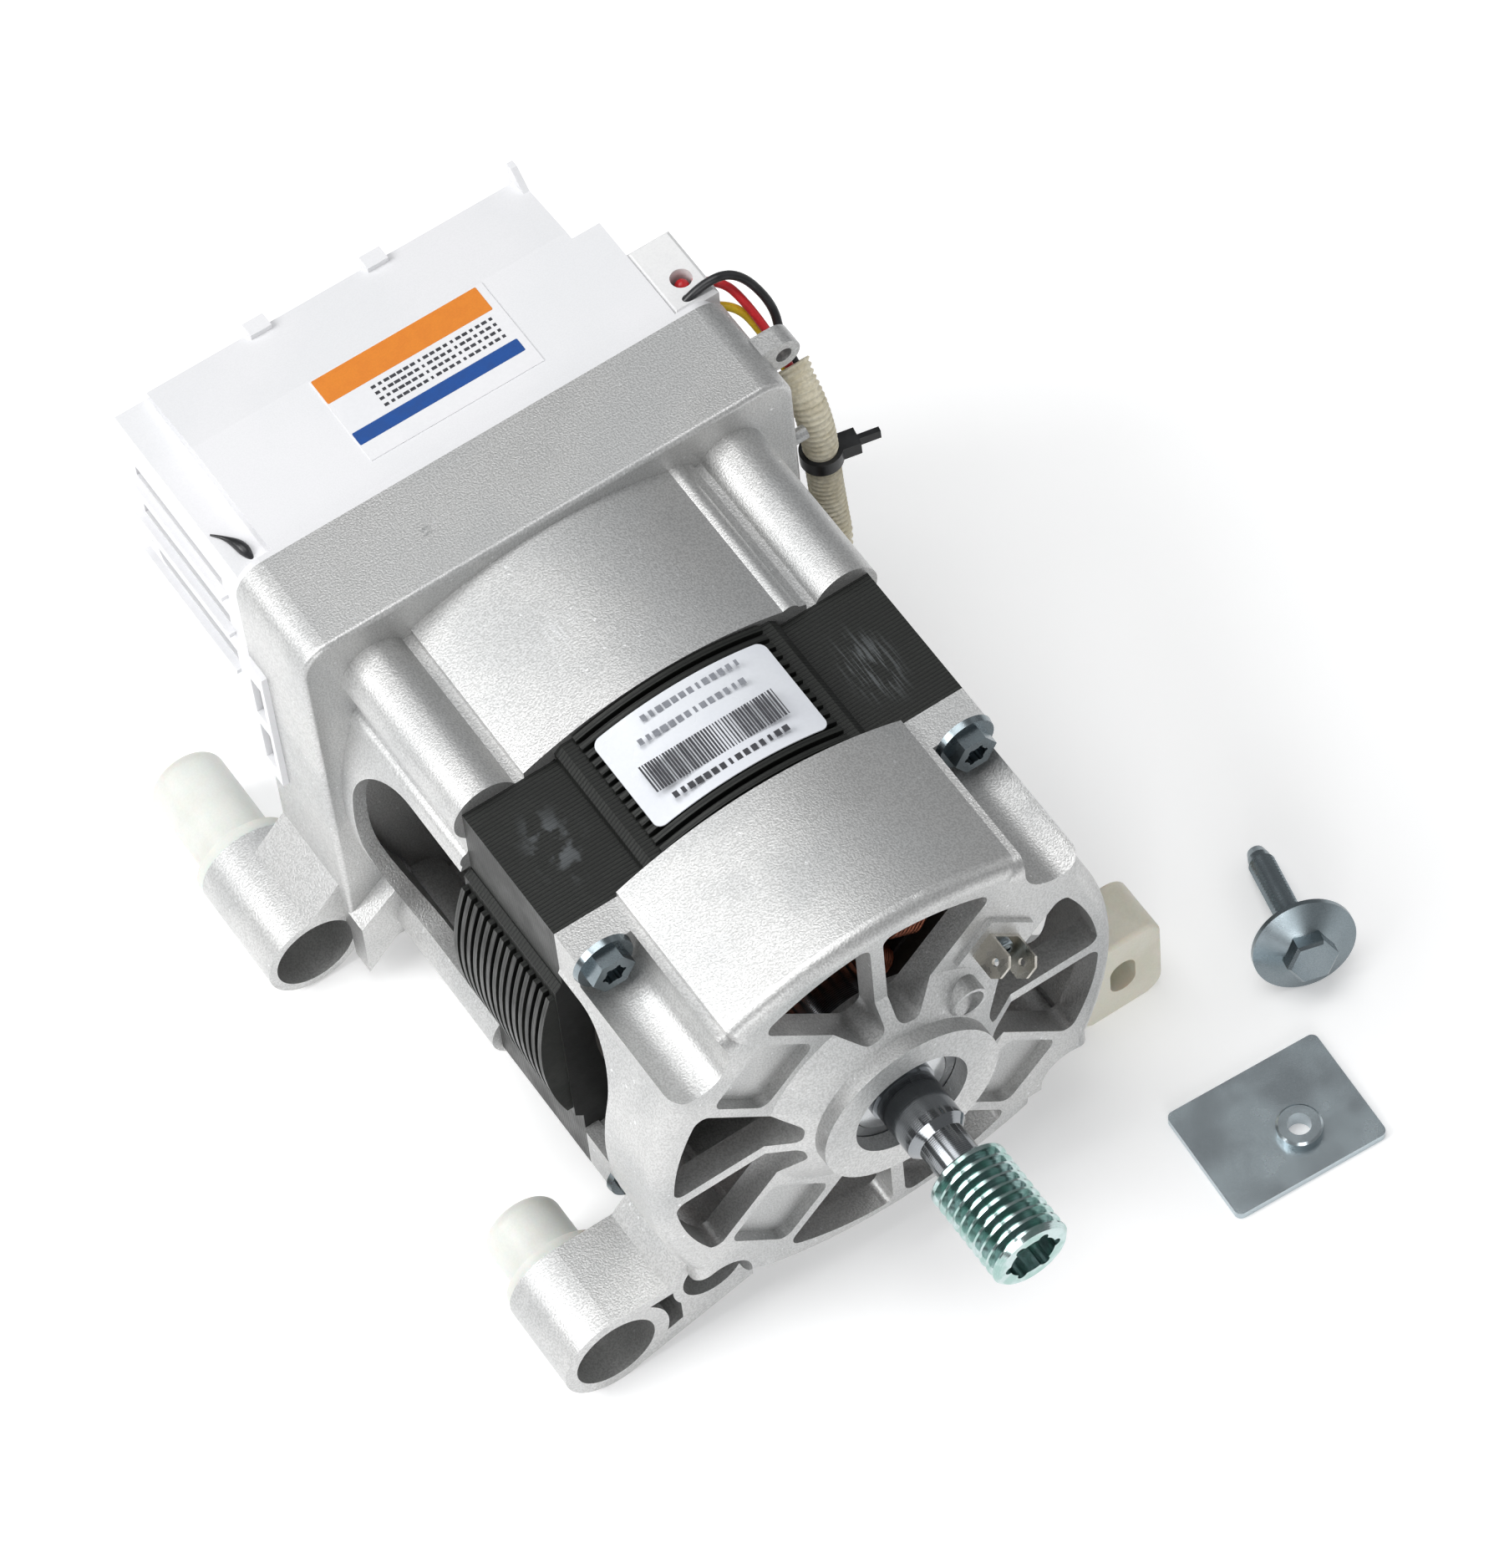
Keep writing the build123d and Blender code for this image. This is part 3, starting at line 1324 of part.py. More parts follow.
# Slotted bushing: a plastic block moulded round the bracket's right arm
bushing_rear_y = bushing_front_y + bushing_depth
with BuildPart() as slot_bushing:
    with BuildSketch(square_to_shaft(bushing_rear_y)):
        with Locations((bushing_centre_x, bushing_centre_z)):
            Rectangle(bushing_width, bushing_height)
        right_corners = vertices().group_by(Axis.X)[-1]
        fillet(right_corners, bushing_corner_radius)
        left_corners = vertices().group_by(Axis.X)[0]
        fillet(left_corners, bushing_corner_radius / 2)
    extrude(amount=bushing_depth)
    outer_edges = slot_bushing.edges().group_by(Axis.Y)[0] + slot_bushing.edges().group_by(Axis.Y)[-1]
    fillet(outer_edges, bushing_edge_radius)
    with BuildSketch(square_to_shaft(ear_plate_y + ear_plate_thickness)):
        Polygon(
            (bushing_inner_x - overrun, bushing_centre_z + ear_half_height + casting_wall + overrun),
            (bushing_inner_x, bushing_centre_z + ear_half_height + casting_wall),
            (ear_outer_x, bushing_centre_z + ear_half_height),
            (ear_outer_x, bushing_centre_z - ear_half_height),
            (bushing_inner_x - overrun, bushing_centre_z - ear_half_height),
            align=None,
        )
        with Locations((bushing_centre_x, bushing_centre_z)):
            RectangleRounded(
                bushing_slot_width + 2 * slot_relief,
                bushing_slot_height + 2 * slot_relief,
                bushing_slot_width / 2,
                mode=Mode.SUBTRACT,
            )
    extrude(amount=ear_plate_thickness, mode=Mode.SUBTRACT)
    with BuildSketch(square_to_shaft(bushing_rear_y)):
        with Locations((bushing_centre_x, bushing_centre_z)):
            SlotOverall(bushing_slot_height, bushing_slot_width, rotation=90)
    extrude(amount=bushing_depth, mode=Mode.SUBTRACT)
finish(slot_bushing, "slot_bushing")

# Label, a thin curved sheet on top of the fins
with BuildPart() as stator_label:
    with BuildSketch(square_to_shaft(stator_middle_y + label_length / 2)):
        add(arch_face(fin_half_width, fin_edge_height + label_thickness, arch_apex + label_thickness))
        add(arch_face(fin_half_width, fin_edge_height, arch_apex), mode=Mode.SUBTRACT)
    extrude(amount=label_length)
    with BuildSketch(Plane.XY.offset(fin_edge_height / 2)):
        with Locations((0, stator_middle_y)):
            RectangleRounded(label_width, label_length, label_corner_radius)
    extrude(amount=fin_edge_height, mode=Mode.INTERSECT)
finish(stator_label, "stator_label")

# Cover of the drive unit: a box with a sloping left side, closed by a rim plate against the bracket
rim_rear_y = flange_rear_y + cover_rim_thickness
step_y = flange_rear_y + cover_depth * cover_step_y_share
crease_y = flange_rear_y + cover_depth * cover_slope_start_share
knee_front_y = flange_rear_y + cover_depth * knee_front_share
knee_rear_y = flange_rear_y + cover_depth * knee_rear_share
left_side = Vector(-cover_left_x, knee_front_y, cover_knee_front_z)
along_knee = Vector(0, knee_rear_y - knee_front_y, cover_knee_rear_z - cover_knee_front_z)
under_knee = Vector(cover_left_x - cover_bottom_left_x, 0, -cover_bottom_z)
slant_plane = Plane(origin=left_side, x_dir=along_knee, z_dir=along_knee.cross(under_knee))
louvre_middle_y = flange_rear_y + cover_depth * louvre_start_share + louvre_length / 2
header_rear_y = rim_rear_y + header_socket_length

with BuildPart() as inverter_cover:
    with BuildSketch(square_to_shaft(cover_rear_y)):
        Polygon(
            (-cover_half_top, cover_top_z),
            (cover_half_top, cover_top_z),
            (cover_half_top, -cover_bottom_z),
            (-cover_left_x, -cover_bottom_z),
            (-cover_left_x, cover_shoulder_z),
            (-cover_half_top, cover_shoulder_z),
            align=None,
        )
    extrude(amount=cover_depth)
    with BuildSketch(Plane.XY.offset(-cover_bottom_z)):
        Polygon(
            (cover_step_x, step_y),
            (cover_half_top, step_y),
            (cover_half_top, cover_rear_y),
            (cover_step_x, cover_rear_y),
            align=None,
        )
    extrude(amount=cover_bottom_z + cover_top_z, mode=Mode.SUBTRACT)
    with BuildSketch(Plane.YZ.offset(-cover_left_x)):
        Polygon(
            (crease_y, cover_top_z),
            (cover_rear_y, cover_top_z),
            (cover_rear_y, cover_top_z - cover_slope_drop),
            align=None,
        )
    extrude(amount=2 * cover_left_x, mode=Mode.SUBTRACT)
    split(bisect_by=slant_plane, keep=Keep.BOTTOM)
    offset(amount=-cover_wall, openings=inverter_cover.faces().sort_by(Axis.Y)[0])
    # Rim plate that closes the rest of the bracket's box
    with BuildSketch(square_to_shaft(rim_rear_y)):
        RectangleRounded(
            2 * (flange_half_width - cover_rim_inset),
            2 * (flange_half_height - cover_rim_inset),
            flange_corner_radius - cover_rim_inset,
        )
        Polygon(
            (-cover_half_top, cover_top_z - cover_wall),
            (cover_half_top - cover_wall, cover_top_z - cover_wall),
            (cover_half_top - cover_wall, -cover_bottom_z + cover_wall),
            (-cover_bottom_left_x + cover_wall, -cover_bottom_z + cover_wall),
            (-cover_left_x + cover_wall, cover_knee_front_z),
            (-cover_left_x + cover_wall, cover_shoulder_z - cover_wall),
            (-cover_half_top, cover_shoulder_z - cover_wall),
            align=None,
            mode=Mode.SUBTRACT,
        )
        with Locations(cover_screw_spots):
            Circle(screw_radius + bolt_hole_clearance, mode=Mode.SUBTRACT)
        with Locations((-lug_x, -lug_z)):
            Circle(rear_lug_radius + bolt_hole_clearance, mode=Mode.SUBTRACT)
    extrude(amount=cover_rim_thickness)
    # Louvres in the left wall
    with BuildSketch(Plane.YZ.offset(-cover_left_x + 2 * cover_wall)):
        for louvre in range(louvre_count):
            with Locations((louvre_middle_y, louvre_top_z - louvre * louvre_pitch)):
                Rectangle(louvre_length, louvre_height)
    extrude(amount=-3 * cover_wall, mode=Mode.SUBTRACT)
    # Thin ledges under the louvres
    with BuildSketch(Plane.YZ.offset(-cover_left_x)):
        for louvre in range(louvre_count):
            with Locations((louvre_middle_y, louvre_top_z - louvre * louvre_pitch - louvre_height)):
                Rectangle(louvre_length + louvre_height, ledge_thickness)
    extrude(amount=-ledge_reach)
    # Clip strip beside the bracket's box, with two windows
    with BuildSketch(Plane.YZ.offset(-flange_half_width)):
        Polygon(
            (clip_front_y, clip_top_z),
            (rim_rear_y, clip_top_z),
            (rim_rear_y, clip_bottom_z),
            (clip_front_y, clip_bottom_z),
            align=None,
        )
        for window in range(clip_window_count):
            window_z = clip_window_top_z - window * clip_window_pitch
            with Locations(((clip_front_y + flange_rear_y) / 2, window_z)):
                Rectangle(clip_window_length, clip_window_height, mode=Mode.SUBTRACT)
    extrude(amount=-clip_thickness)
    with BuildSketch(Plane.YZ.offset(-flange_half_width - clip_thickness)):
        Polygon(
            (flange_rear_y, clip_top_z),
            (rim_rear_y, clip_top_z),
            (rim_rear_y, clip_bottom_z),
            (flange_rear_y, clip_bottom_z),
            align=None,
        )
    extrude(amount=cover_rim_inset + 2 * clip_thickness)
    # Hooks and a fin on the rear edge of the top
    with BuildSketch(Plane.XY.offset(cover_top_z - cover_slope_drop - cover_wall)):
        with Locations([(place, cover_rear_y) for place in rear_hook_places]):
            Rectangle(rear_hook_width, 2 * rear_hook_reach)
    extrude(amount=cover_wall + rear_hook_height)
    with BuildSketch(Plane.YZ.offset(cover_step_x - corner_fin_thickness)):
        Polygon(
            (cover_rear_y - corner_fin_length, cover_top_z - cover_slope_drop - cover_wall),
            (cover_rear_y, cover_top_z - cover_slope_drop + corner_fin_height),
            (cover_rear_y + rear_hook_reach, cover_top_z - cover_slope_drop + corner_fin_height),
            (cover_rear_y + rear_hook_reach, cover_top_z - 3 * cover_slope_drop),
            (cover_rear_y - cover_wall, cover_top_z - 3 * cover_slope_drop),
            align=None,
        )
    extrude(amount=corner_fin_thickness)
    # Window for the mains plug in the bottom wall
    with BuildSketch(Plane.XY.offset(-cover_bottom_z)):
        with Locations((header_x, rim_rear_y + header_socket_length / 2)):
            Rectangle(header_width + 2 * header_gap, header_socket_length + 2 * header_gap)
    extrude(amount=2 * cover_wall, mode=Mode.SUBTRACT)
finish(inverter_cover, "inverter_cover")

with BuildPart() as cover_screws:
    with BuildSketch(square_to_shaft(rim_rear_y)):
        with Locations(cover_screw_spots):
            Circle(screw_radius)
    extrude(amount=cover_screw_length)
    with BuildSketch(square_to_shaft(rim_rear_y + screw_head_height)):
        with Locations(cover_screw_spots):
            Circle(screw_head_radius)
    extrude(amount=screw_head_height)
finish(cover_screws, "cover_screws")

# Sticker: a flat sheet on the cover's top
with BuildPart() as cover_sticker:
    with BuildSketch(Plane.XY.offset(cover_top_z)):
        with Locations((0, crease_y - sticker_crease_gap - sticker_length / 2)):
            Rectangle(sticker_width, sticker_length)
    extrude(amount=sticker_thickness)
finish(cover_sticker, "cover_sticker")

# Control board on the four posts, with its screws and the large components
board_rear_y = board_y + board_thickness
with BuildPart() as control_board:
    with BuildSketch(square_to_shaft(board_rear_y)):
        with Locations((board_shift_x, 0)):
            RectangleRounded(board_width, board_height, flange_wall)
        with Locations(board_posts):
            Circle(screw_radius + bolt_hole_clearance, mode=Mode.SUBTRACT)
    extrude(amount=board_thickness)
finish(control_board, "control_board")

with BuildPart() as board_screws:
    with BuildSketch(square_to_shaft(board_rear_y)):
        with Locations(board_posts):
            Circle(screw_radius)
    extrude(amount=board_screw_length)
    with BuildSketch(square_to_shaft(board_rear_y + screw_head_height)):
        with Locations(board_posts):
            Circle(screw_head_radius)
    extrude(amount=screw_head_height)
finish(board_screws, "board_screws")

with BuildPart() as power_module:
    with BuildSketch(square_to_shaft(board_y - module_pin_height)):
        with Locations((module_x, module_z)):
            Rectangle(module_width, module_height)
    extrude(amount=board_y - module_pin_height - flange_floor_y)
    with BuildSketch(square_to_shaft(board_y)):
        with Locations((module_x, module_z)):
            with GridLocations(
                module_pin_pitch, module_height - 2 * header_pin_width, module_pin_count, 2
            ):
                Rectangle(header_pin_width, header_pin_width)
    extrude(amount=module_pin_height)
finish(power_module, "power_module")

with BuildPart() as bus_capacitors:
    with BuildSketch(square_to_shaft(board_rear_y + capacitor_length)):
        with Locations((capacitor_x, capacitor_z)):
            with GridLocations(capacitor_pitch, 0, 2, 1):
                Circle(capacitor_radius)
    extrude(amount=capacitor_length)
    fillet(bus_capacitors.faces().group_by(Axis.Y)[-1].edges(), capacitor_edge_radius)
finish(bus_capacitors, "bus_capacitors")

with BuildPart() as line_choke:
    with BuildSketch(square_to_shaft(board_rear_y + choke_thickness)):
        with Locations((choke_x, choke_z)):
            Circle(choke_outer_radius)
            Circle(choke_inner_radius, mode=Mode.SUBTRACT)
    extrude(amount=choke_thickness)
    fillet(line_choke.faces().group_by(Axis.Y)[-1].edges(), choke_edge_radius)
finish(line_choke, "line_choke")

with BuildPart() as power_relay:
    with BuildSketch(square_to_shaft(board_rear_y + relay_depth)):
        with Locations((relay_x, relay_z)):
            Rectangle(relay_width, relay_height)
    extrude(amount=relay_depth)
finish(power_relay, "power_relay")

with BuildPart() as mains_header:
    with BuildSketch(Plane.XY.offset(-cover_bottom_z)):
        Polygon(
            (header_x - header_width / 2, board_rear_y),
            (header_x + header_width / 2, board_rear_y),
            (header_x + header_width / 2, header_rear_y),
            (header_x - header_width / 2, header_rear_y),
            align=None,
        )
    extrude(amount=header_height)
    with BuildSketch(Plane.XY.offset(-cover_bottom_z - header_wall)):
        Polygon(
            (header_x - header_width / 2, board_rear_y),
            (header_x + header_width / 2, board_rear_y),
            (header_x + header_width / 2, rim_rear_y - header_gap),
            (header_x - header_width / 2, rim_rear_y - header_gap),
            align=None,
        )
    extrude(amount=header_wall + header_rim_step, mode=Mode.SUBTRACT)
    with BuildSketch(Plane.XY.offset(-cover_bottom_z)):
        with Locations((header_x, rim_rear_y + header_socket_length / 2)):
            Rectangle(header_width - 2 * header_wall, header_socket_length - 2 * header_wall)
    extrude(amount=header_height - header_wall, mode=Mode.SUBTRACT)
finish(mains_header, "mains_header")

with BuildPart() as mains_header_pins:
    with BuildSketch(Plane.XY.offset(-cover_bottom_z + header_pin_setback)):
        with Locations((header_x, rim_rear_y + header_socket_length / 2)):
            with GridLocations(header_pin_pitch, 0, header_pin_count, 1):
                Rectangle(header_pin_width, header_pin_width)
    extrude(amount=header_height - header_wall - header_pin_setback)
finish(mains_header_pins, "mains_header_pins")

# Connector block of the motor leads, beside the cover's top
block_front_y = rim_rear_y
block_x = cover_half_top + lead_block_width / 2
block_y = block_front_y + lead_block_length / 2
with BuildPart() as connector_block:
    with BuildSketch(Plane.XY.offset(cover_top_z - lead_block_height)):
        with Locations((block_x, block_y)):
            Rectangle(lead_block_width, lead_block_length)
    extrude(amount=lead_block_height)
    chamfer(connector_block.faces().sort_by(Axis.Z)[-1].edges(), block_edge)
    with BuildSketch(Plane.XY.offset(cover_top_z)):
        with Locations((block_x + block_hole_shift, block_front_y + block_hole_y)):
            Circle(lead_block_hole_radius)
    extrude(amount=-lead_block_hole_depth, mode=Mode.SUBTRACT)
    for lead_start in (red_start, yellow_start, black_start):
        first_run = Vector(*lead_start[1]) - Vector(*lead_start[0])
        with BuildSketch(Plane(origin=lead_start[0], z_dir=first_run)):
            Circle(lead_radius)
        extrude(amount=first_run.length, mode=Mode.SUBTRACT)
finish(connector_block, "connector_block")


def bend_radii(route):
    """One radius for each corner of a route, as large as its two runs allow."""
    radii = []
    for before, here, after in zip(route, route[1:], route[2:]):
        run_in = Vector(*here) - Vector(*before)
        run_out = Vector(*after) - Vector(*here)
        half_turn = radians(run_in.get_angle(run_out)) / 2
        radii.append(bend_share * min(run_in.length, run_out.length) / tan(half_turn))
    return radii


def tube_along(route, radii, radius, bore):
    """A round tube along a route of straight runs joined by arcs, solid where the bore is 0."""
    start = Vector(*route[0])
    heading = Vector(*route[1]) - start
    with BuildPart() as tube:
        with BuildLine():
            path = FilletPolyline(*route, radius=radii)
        with BuildSketch(Plane(origin=start, z_dir=heading)):
            Circle(radius)
            if bore > 0:
                Circle(bore, mode=Mode.SUBTRACT)
        sweep(path=path)
    expected = pi * (radius**2 - bore**2) * path.length
    print("bend radii", [round(bend, 1) for bend in radii])
    print("tube volume", round(tube.part.volume, 1), "section times length", round(expected, 1))
    return tube.part


def shifted(point, shift):
    """A point moved by a shift."""
    return (point[0] + shift[0], point[1] + shift[1], point[2] + shift[2])


# Motor leads: each comes out of the connector block, goes through the sleeve and ends on a coil
sleeve_start, sleeve_end = Vector(*sleeve_route[0]), Vector(*sleeve_route[-1])
mouth_heading = (sleeve_start - Vector(*sleeve_route[1])).normalized()
outlet_heading = (sleeve_end - Vector(*sleeve_route[-2])).normalized()
lead_mouth = sleeve_start + mouth_heading * lead_mouth_reach
lead_outlet = sleeve_end + outlet_heading * lead_outlet_reach
coil_end_y = stator_middle_y + coil_inner_half_length + coil_thickness


def lead_route(start_points, shift, coil_angle):
    """The whole route of one lead: its own start, the shared stretch, and the drop to its coil."""
    shared = [shifted(tuple(lead_mouth), shift)]
    shared += [shifted(point, shift) for point in sleeve_route[1:-1]]
    shared += [shifted(tuple(lead_outlet), shift)]
    coil_x = coil_contact_radius * cos(radians(coil_angle))
    coil_z = coil_contact_radius * sin(radians(coil_angle))
    drop = [(coil_x, coil_end_y + lead_drop, coil_z), (coil_x, coil_end_y, coil_z)]
    return start_points + shared + drop


def lead_tube(start_points, route):
    """A lead's tube, bent inside the sleeve as the sleeve itself is bent."""
    radii = bend_radii(route)
    first_shared = len(start_points)
    radii[first_shared : first_shared + len(sleeve_radii)] = sleeve_radii
    return tube_along(route, radii, lead_radius, 0)


sleeve_radii = bend_radii(sleeve_route)
red_route = lead_route(red_start, red_shift, red_coil_angle)
yellow_route = lead_route(yellow_start, yellow_shift, yellow_coil_angle)
black_route = lead_route(black_start, black_shift, black_coil_angle)

with BuildPart() as red_lead:
    add(lead_tube(red_start, red_route))
finish(red_lead, "red_lead")

with BuildPart() as yellow_lead:
    add(lead_tube(yellow_start, yellow_route))
finish(yellow_lead, "yellow_lead")

with BuildPart() as black_lead:
    add(lead_tube(black_start, black_route))
finish(black_lead, "black_lead")

with BuildPart() as harness_sleeve:
    add(tube_along(sleeve_route, sleeve_radii, sleeve_radius, sleeve_bore_radius))
finish(harness_sleeve, "harness_sleeve")

# Cable tie round the sleeve: band, head and cut tail
tie_top, tie_bottom = Vector(*sleeve_route[1]), Vector(*sleeve_route[2])
tie_share = (tie_top.Z - tie_z) / (tie_top.Z - tie_bottom.Z)
tie_centre = tie_top + (tie_bottom - tie_top) * tie_share
tie_plane = Plane(origin=tie_centre, x_dir=tie_direction, z_dir=tie_top - tie_bottom)
tie_ring = sleeve_radius + tie_band_thickness
with BuildPart() as cable_tie:
    with BuildSketch(tie_plane):
        Circle(tie_ring)
        with Locations((tie_ring + tie_head / 2 - tie_band_thickness, 0)):
            Rectangle(tie_head, tie_head)
        Circle(sleeve_radius, mode=Mode.SUBTRACT)
    extrude(amount=tie_band_width / 2, both=True)
    with BuildSketch(tie_plane):
        with Locations((tie_ring - tie_band_thickness + tie_head + tie_tail / 2, 0)):
            Rectangle(tie_tail, tie_tail_thickness)
    extrude(amount=tie_band_width / 2 - tie_band_thickness / 2, both=True)
finish(cable_tie, "cable_tie")

# Loose fixing screw, which lies on the rim of its flange and on its tip
tip_reach = loose_screw_length - loose_screw_tip
screw_tilt = degrees(atan2(loose_flange_radius - loose_screw_radius, tip_reach))
heading_turn = radians(loose_screw_heading)
head_direction = Vector(
    -sin(heading_turn) * cos(radians(screw_tilt)),
    -cos(heading_turn) * cos(radians(screw_tilt)),
    sin(radians(screw_tilt)),
)
screw_side = Vector(cos(heading_turn), -sin(heading_turn), 0)
flange_centre_z = loose_flange_radius * cos(radians(screw_tilt)) - floor_z
flange_centre = Vector(loose_screw_x, loose_screw_y, flange_centre_z)
profile_plane = Plane(origin=flange_centre, x_dir=screw_side, z_dir=screw_side.cross(head_direction))
thread_count = int((loose_screw_length - 2 * loose_screw_tip) / loose_thread_pitch)
with BuildPart() as fixing_screw:
    with BuildSketch(profile_plane):
        with BuildLine():
            thread = []
            for turn in range(thread_count):
                crest = -loose_screw_tip / 2 - turn * loose_thread_pitch
                thread += [
                    (loose_screw_radius, crest),
                    (loose_screw_radius - loose_thread_depth, crest - loose_thread_pitch / 2),
                ]
            Polyline(
                (0, loose_flange_thickness + loose_flange_cone),
                (loose_hex_flats / 2, loose_flange_thickness + loose_flange_cone),
                (loose_flange_radius, loose_flange_thickness),
                (loose_flange_radius, 0),
                (loose_screw_radius, 0),
                *thread,
                (loose_screw_radius - loose_thread_depth, loose_screw_tip - loose_screw_length),
                (loose_screw_radius - 2 * loose_thread_depth, -loose_screw_length),
                (0, -loose_screw_length),
                (0, loose_flange_thickness + loose_flange_cone),
            )
        make_face()
    revolve(axis=Axis(flange_centre, head_direction))
    with BuildSketch(Plane(origin=flange_centre, x_dir=screw_side, z_dir=head_direction)):
        RegularPolygon(loose_hex_flats / 2, 6, major_radius=False)
    extrude(amount=loose_flange_thickness + loose_hex_height)
    hex_top = fixing_screw.faces().sort_by(Axis(flange_centre, head_direction))[-1]
    chamfer(hex_top.edges(), loose_hex_chamfer)
finish(fixing_screw, "fixing_screw")

# Loose nut plate with a drawn and threaded collar
plate_plane = Plane(
    origin=(nut_plate_x, nut_plate_y, -floor_z),
    x_dir=(cos(radians(nut_plate_heading)), sin(radians(nut_plate_heading)), 0),
    z_dir=(0, 0, 1),
)
with BuildPart() as nut_plate:
    with BuildSketch(plate_plane):
        RectangleRounded(nut_plate_length, nut_plate_width, nut_plate_corner_radius)
    extrude(amount=nut_plate_thickness)
    with BuildSketch(plate_plane):
        with Locations((nut_hole_shift_x, nut_hole_shift_y)):
            Circle(nut_collar_radius)
    extrude(amount=nut_plate_thickness + nut_collar_height)
    chamfer(nut_plate.faces().sort_by(Axis.Z)[-1].edges(), nut_collar_chamfer)
    with BuildSketch(plate_plane):
        with Locations((nut_hole_shift_x, nut_hole_shift_y)):
            Circle(nut_hole_radius)
    extrude(amount=nut_plate_thickness + nut_collar_height, mode=Mode.SUBTRACT)
finish(nut_plate, "nut_plate")
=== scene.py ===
"""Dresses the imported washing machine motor: finishes, printed films, windings, leads, light and camera."""

import logging
import math
from dataclasses import dataclass, field
from enum import Enum

import bmesh
import bpy
from mathutils import Matrix, Vector


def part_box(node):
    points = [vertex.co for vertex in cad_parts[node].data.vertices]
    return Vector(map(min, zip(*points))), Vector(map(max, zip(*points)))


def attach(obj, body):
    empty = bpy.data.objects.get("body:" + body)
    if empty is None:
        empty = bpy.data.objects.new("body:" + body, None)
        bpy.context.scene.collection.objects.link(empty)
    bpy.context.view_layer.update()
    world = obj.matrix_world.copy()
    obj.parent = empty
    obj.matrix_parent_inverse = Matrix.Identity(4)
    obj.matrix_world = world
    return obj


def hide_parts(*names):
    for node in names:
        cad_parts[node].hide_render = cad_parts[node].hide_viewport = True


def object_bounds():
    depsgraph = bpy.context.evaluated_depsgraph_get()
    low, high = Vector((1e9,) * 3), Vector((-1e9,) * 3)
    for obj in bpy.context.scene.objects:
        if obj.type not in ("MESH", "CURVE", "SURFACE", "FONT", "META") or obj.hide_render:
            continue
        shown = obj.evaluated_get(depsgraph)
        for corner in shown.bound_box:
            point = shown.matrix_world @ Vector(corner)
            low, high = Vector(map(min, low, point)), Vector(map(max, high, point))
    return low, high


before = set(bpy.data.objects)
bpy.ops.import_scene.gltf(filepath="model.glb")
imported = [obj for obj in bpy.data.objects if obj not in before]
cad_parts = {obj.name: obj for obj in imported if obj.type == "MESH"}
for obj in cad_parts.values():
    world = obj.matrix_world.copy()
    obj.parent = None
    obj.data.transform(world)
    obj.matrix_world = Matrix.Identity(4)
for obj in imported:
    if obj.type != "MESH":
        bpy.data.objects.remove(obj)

CAD_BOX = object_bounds()
MM = 0.001
SEED = 11
# How much finer detail the noises of a finish carry
PATCH_DETAIL, GRAIN_DETAIL, STREAK_DETAIL = 4.0, 2.0, 3.0
# Values of a noise, wave or distance between which its effect grows from nothing to all
PATCH_EDGE = (0.4, 0.62)
GLOSS_EDGE = (0.3, 0.7)
GRAIN_EDGE = (0.62, 0.36)
GROOVE_EDGE = (0.45, 0.05)
STREAK_EDGE = (0.48, 0.62)
MARK_EDGE = (1.0, 0.2)
WHOLE = (0.0, 1.0)
# Cell size of bright grains in grain sizes, how far they lighten the colour and how far they smooth it
SPARKLE_CELL, SPARKLE_SHARE, SPARKLE_GLOSS = 1.2, 0.8, 0.18
# Thickness, corners and smoothness of printed films, and the smallest bar as a share of the pitch
FILM_MM, FILM_CORNER_MM, FILM_CORNER_LIMIT, FILM_STEPS = 0.05, 0.3, 2.2, 4
INK_MM, NARROWEST_BAR = 0.04, 0.25
log = logging.getLogger("motor")

Point = tuple[float, float, float]
Swell = tuple[float, float, float, float]
Area = tuple[float, float, float, float]


def srgb(code: str) -> tuple[float, float, float, float]:
    """Turns an sRGB hex colour into Blender's linear colour.

    Args:
        code: Six hex digits.

    Returns:
        Red, green, blue and an alpha of 1, all linear.
    """
    channels = [int(code[i : i + 2], 16) / 255 for i in (0, 2, 4)]
    linear = [c / 12.92 if c <= 0.04045 else ((c + 0.055) / 1.055) ** 2.4 for c in channels]
    return (*linear, 1.0)


def add_node(
    tree: bpy.types.NodeTree, kind: str, settings: dict | None = None, inputs: dict | None = None
) -> bpy.types.Node:
    """Adds a node, with its settings, and sets or links its inputs.

    Args:
        tree: The tree that gets the node.
        kind: Blender's name of the node type.
        settings: Properties of the node.
        inputs: For each input, by name or number, a value or the socket that feeds it.

    Returns:
        The new node.
    """
    node = tree.nodes.new(kind)
    for key, value in (settings or {}).items():
        setattr(node, key, value)
    for key, value in (inputs or {}).items():
        if isinstance(value, bpy.types.NodeSocket):
            tree.links.new(value, node.inputs[key])
        else:
            node.inputs[key].default_value = value
    return node


class Along(Enum):
    """Direction along which fine lines follow each other."""

    SHAFT = "Y"
    WIDTH = "X"


@dataclass(frozen=True)
class Lines:
    """Fine parallel lines of a surface, such as sheet edges or turning marks.

    Attributes:
        pitch_mm: Distance from line to line.
        along: Direction in which they follow each other.
        colour: What the grooves darken or lighten to.
        share: How strongly the colour shows.
        depth_mm: Depth of the grooves.
        waver: How much the lines wander.
    """

    pitch_mm: float
    along: Along
    colour: str
    share: float
    depth_mm: float
    waver: float = 0.0


